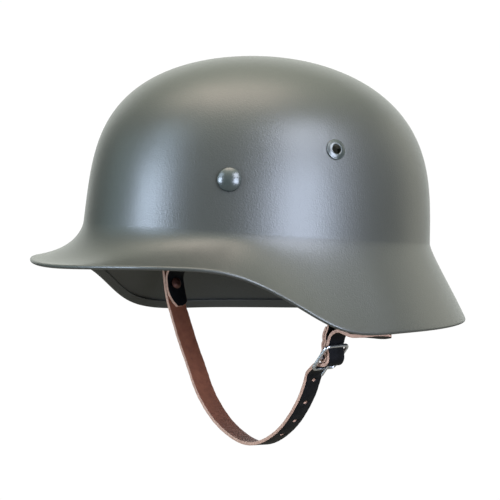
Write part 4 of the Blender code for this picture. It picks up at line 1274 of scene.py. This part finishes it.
def edge_leather():
    """Tan cut edge of the leather."""
    return procedural(
        "leather_edge",
        colour=(noise(520, 5, 0.6), (0.22, (0.175, 0.088, 0.056)), (0.60, (0.32, 0.185, 0.130))),
        roughness=(noise(900, 2), 0.60, 0.85),
        bumps=((noise(1400, 4, 0.7), 0.00005),),
        settings={},
    )


def nickel():
    """Dull nickel wire of the buckle."""
    return procedural(
        "nickel",
        colour=(noise(700, 4), (0.30, (0.36, 0.37, 0.40)), (0.70, (0.52, 0.53, 0.56))),
        roughness=(noise(500, 3), 0.22, 0.38),
        bumps=((noise(900, 3), 0.00004),),
        settings={"Metallic": 1.0},
    )


def brown_lacquer():
    """Dark brown lacquered metal of the studs."""
    return procedural(
        "brown_lacquer",
        colour=(noise(600, 4), (0.30, (0.045, 0.015, 0.011)), (0.70, (0.090, 0.036, 0.026))),
        roughness=(noise(500, 3), 0.22, 0.40),
        bumps=((noise(900, 3), 0.00004),),
        settings={"Metallic": 0.6},
    )


def studio_floor():
    """Plain round floor well below the helmet, which the strong boxes light to a pale tone."""
    made = procedural(
        "studio_floor",
        colour=(noise(3, 2), (0.3, (0.150, 0.138, 0.120)), (0.7, (0.160, 0.147, 0.128))),
        roughness=(noise(5, 2), 0.85, 0.95),
        bumps=(),
        settings={"Specular IOR Level": 0.0},
    )
    turns = [FULL_TURN * k / ROUND_SIDES for k in range(ROUND_SIDES)]
    points = [(FLOOR_RADIUS * math.sin(turn), FLOOR_RADIUS * math.cos(turn), FLOOR_LEVEL) for turn in turns]
    floor = new_object("floor", points, [tuple(range(ROUND_SIDES))[::-1]], None, [made], None, None)


def soft_box(name, turn, lift, distance, width, height, brightness, colour):
    """Area light that faces the helmet, with its brightness as radiance."""
    light = bpy.data.lights.new(name, "AREA")
    light.shape = "RECTANGLE"
    light.size = width
    light.size_y = height
    light.energy = brightness * math.pi * width * height
    light.color = colour
    thing = linked(name, light)
    turn = math.radians(turn)
    lift = math.radians(lift)
    away = Vector((math.sin(turn) * math.cos(lift), -math.cos(turn) * math.cos(lift), math.sin(lift)))
    thing.location = away * distance
    thing.rotation_mode = "QUATERNION"
    thing.rotation_quaternion = away.to_track_quat("Z", "Y")
    thing.visible_camera = False


def studio_sky():
    """White to the camera; to everything else dark at the horizon and bright overhead."""
    world = bpy.data.worlds.new("studio")
    bpy.context.scene.world = world
    world.use_nodes = True
    tree = world.node_tree
    place = tree.nodes.new("ShaderNodeTexCoord")
    split = tree.nodes.new("ShaderNodeSeparateXYZ")
    tree.links.new(place.outputs["Generated"], split.inputs[0])
    ramp = tree.nodes.new("ShaderNodeValToRGB")
    tree.links.new(split.outputs["Z"], ramp.inputs["Fac"])
    shades = [(height, [share * part for part in SKY_COLOUR]) for height, share in SKY_STOPS]
    fill_ramp(ramp.color_ramp, shades)
    back = tree.nodes["Background"]
    back.inputs["Strength"].default_value = SKY_LIGHT
    tree.links.new(ramp.outputs["Color"], back.inputs["Color"])
    white = tree.nodes.new("ShaderNodeBackground")
    white.inputs["Color"].default_value = (1, 1, 1, 1)
    white.inputs["Strength"].default_value = BACKDROP_LIGHT
    ray = tree.nodes.new("ShaderNodeLightPath")
    mix = tree.nodes.new("ShaderNodeMixShader")
    tree.links.new(ray.outputs["Is Camera Ray"], mix.inputs["Fac"])
    tree.links.new(back.outputs["Background"], mix.inputs[1])
    tree.links.new(white.outputs["Background"], mix.inputs[2])
    tree.links.new(mix.outputs["Shader"], tree.nodes["World Output"].inputs["Surface"])


def studio_camera():
    data = bpy.data.cameras.new("camera")
    data.lens = CAMERA_LENS
    data.sensor_width = SENSOR
    data.clip_start = 0.05
    data.clip_end = 60
    thing = linked("camera", data)
    thing.location = CAMERA_PLACE
    thing.rotation_euler = (math.pi / 2 - CAMERA_LIFT, 0, CAMERA_TURN)
    bpy.context.scene.camera = thing


def main():
    paint = satin_paint("helmet_paint", (0.018, 0.018, 0.015), (0.024, 0.024, 0.020), 0.38, 0.00012)
    gloss_paint = satin_paint("fitting_paint", (0.018, 0.021, 0.019), (0.024, 0.028, 0.025), 0.26, 0.00003)
    leathers = [grain_leather(), flesh_leather(), edge_leather()]

    shell = shell_piece(paint)
    for name, side in SIDES:
        split_pin(f"pin_front_{name}", side * PIN_TURN, shell, gloss_paint)
    split_pin("pin_rear", math.pi, shell, gloss_paint)
    for name, side in SIDES:
        vent_bushing(f"vent_bushing_{name}", side * VENT_TURN, shell, gloss_paint)
    for name, side in SIDES:
        hanger(f"strap_hanger_{name}", side, gloss_paint)
    strap_pieces(leathers, brown_lacquer())
    buckle_pieces(nickel())

    studio_floor()
    for box in SOFT_BOXES:
        soft_box(*box)
    studio_sky()
    studio_camera()
    bpy.context.scene.view_settings.view_transform = "Standard"

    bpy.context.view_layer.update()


main()
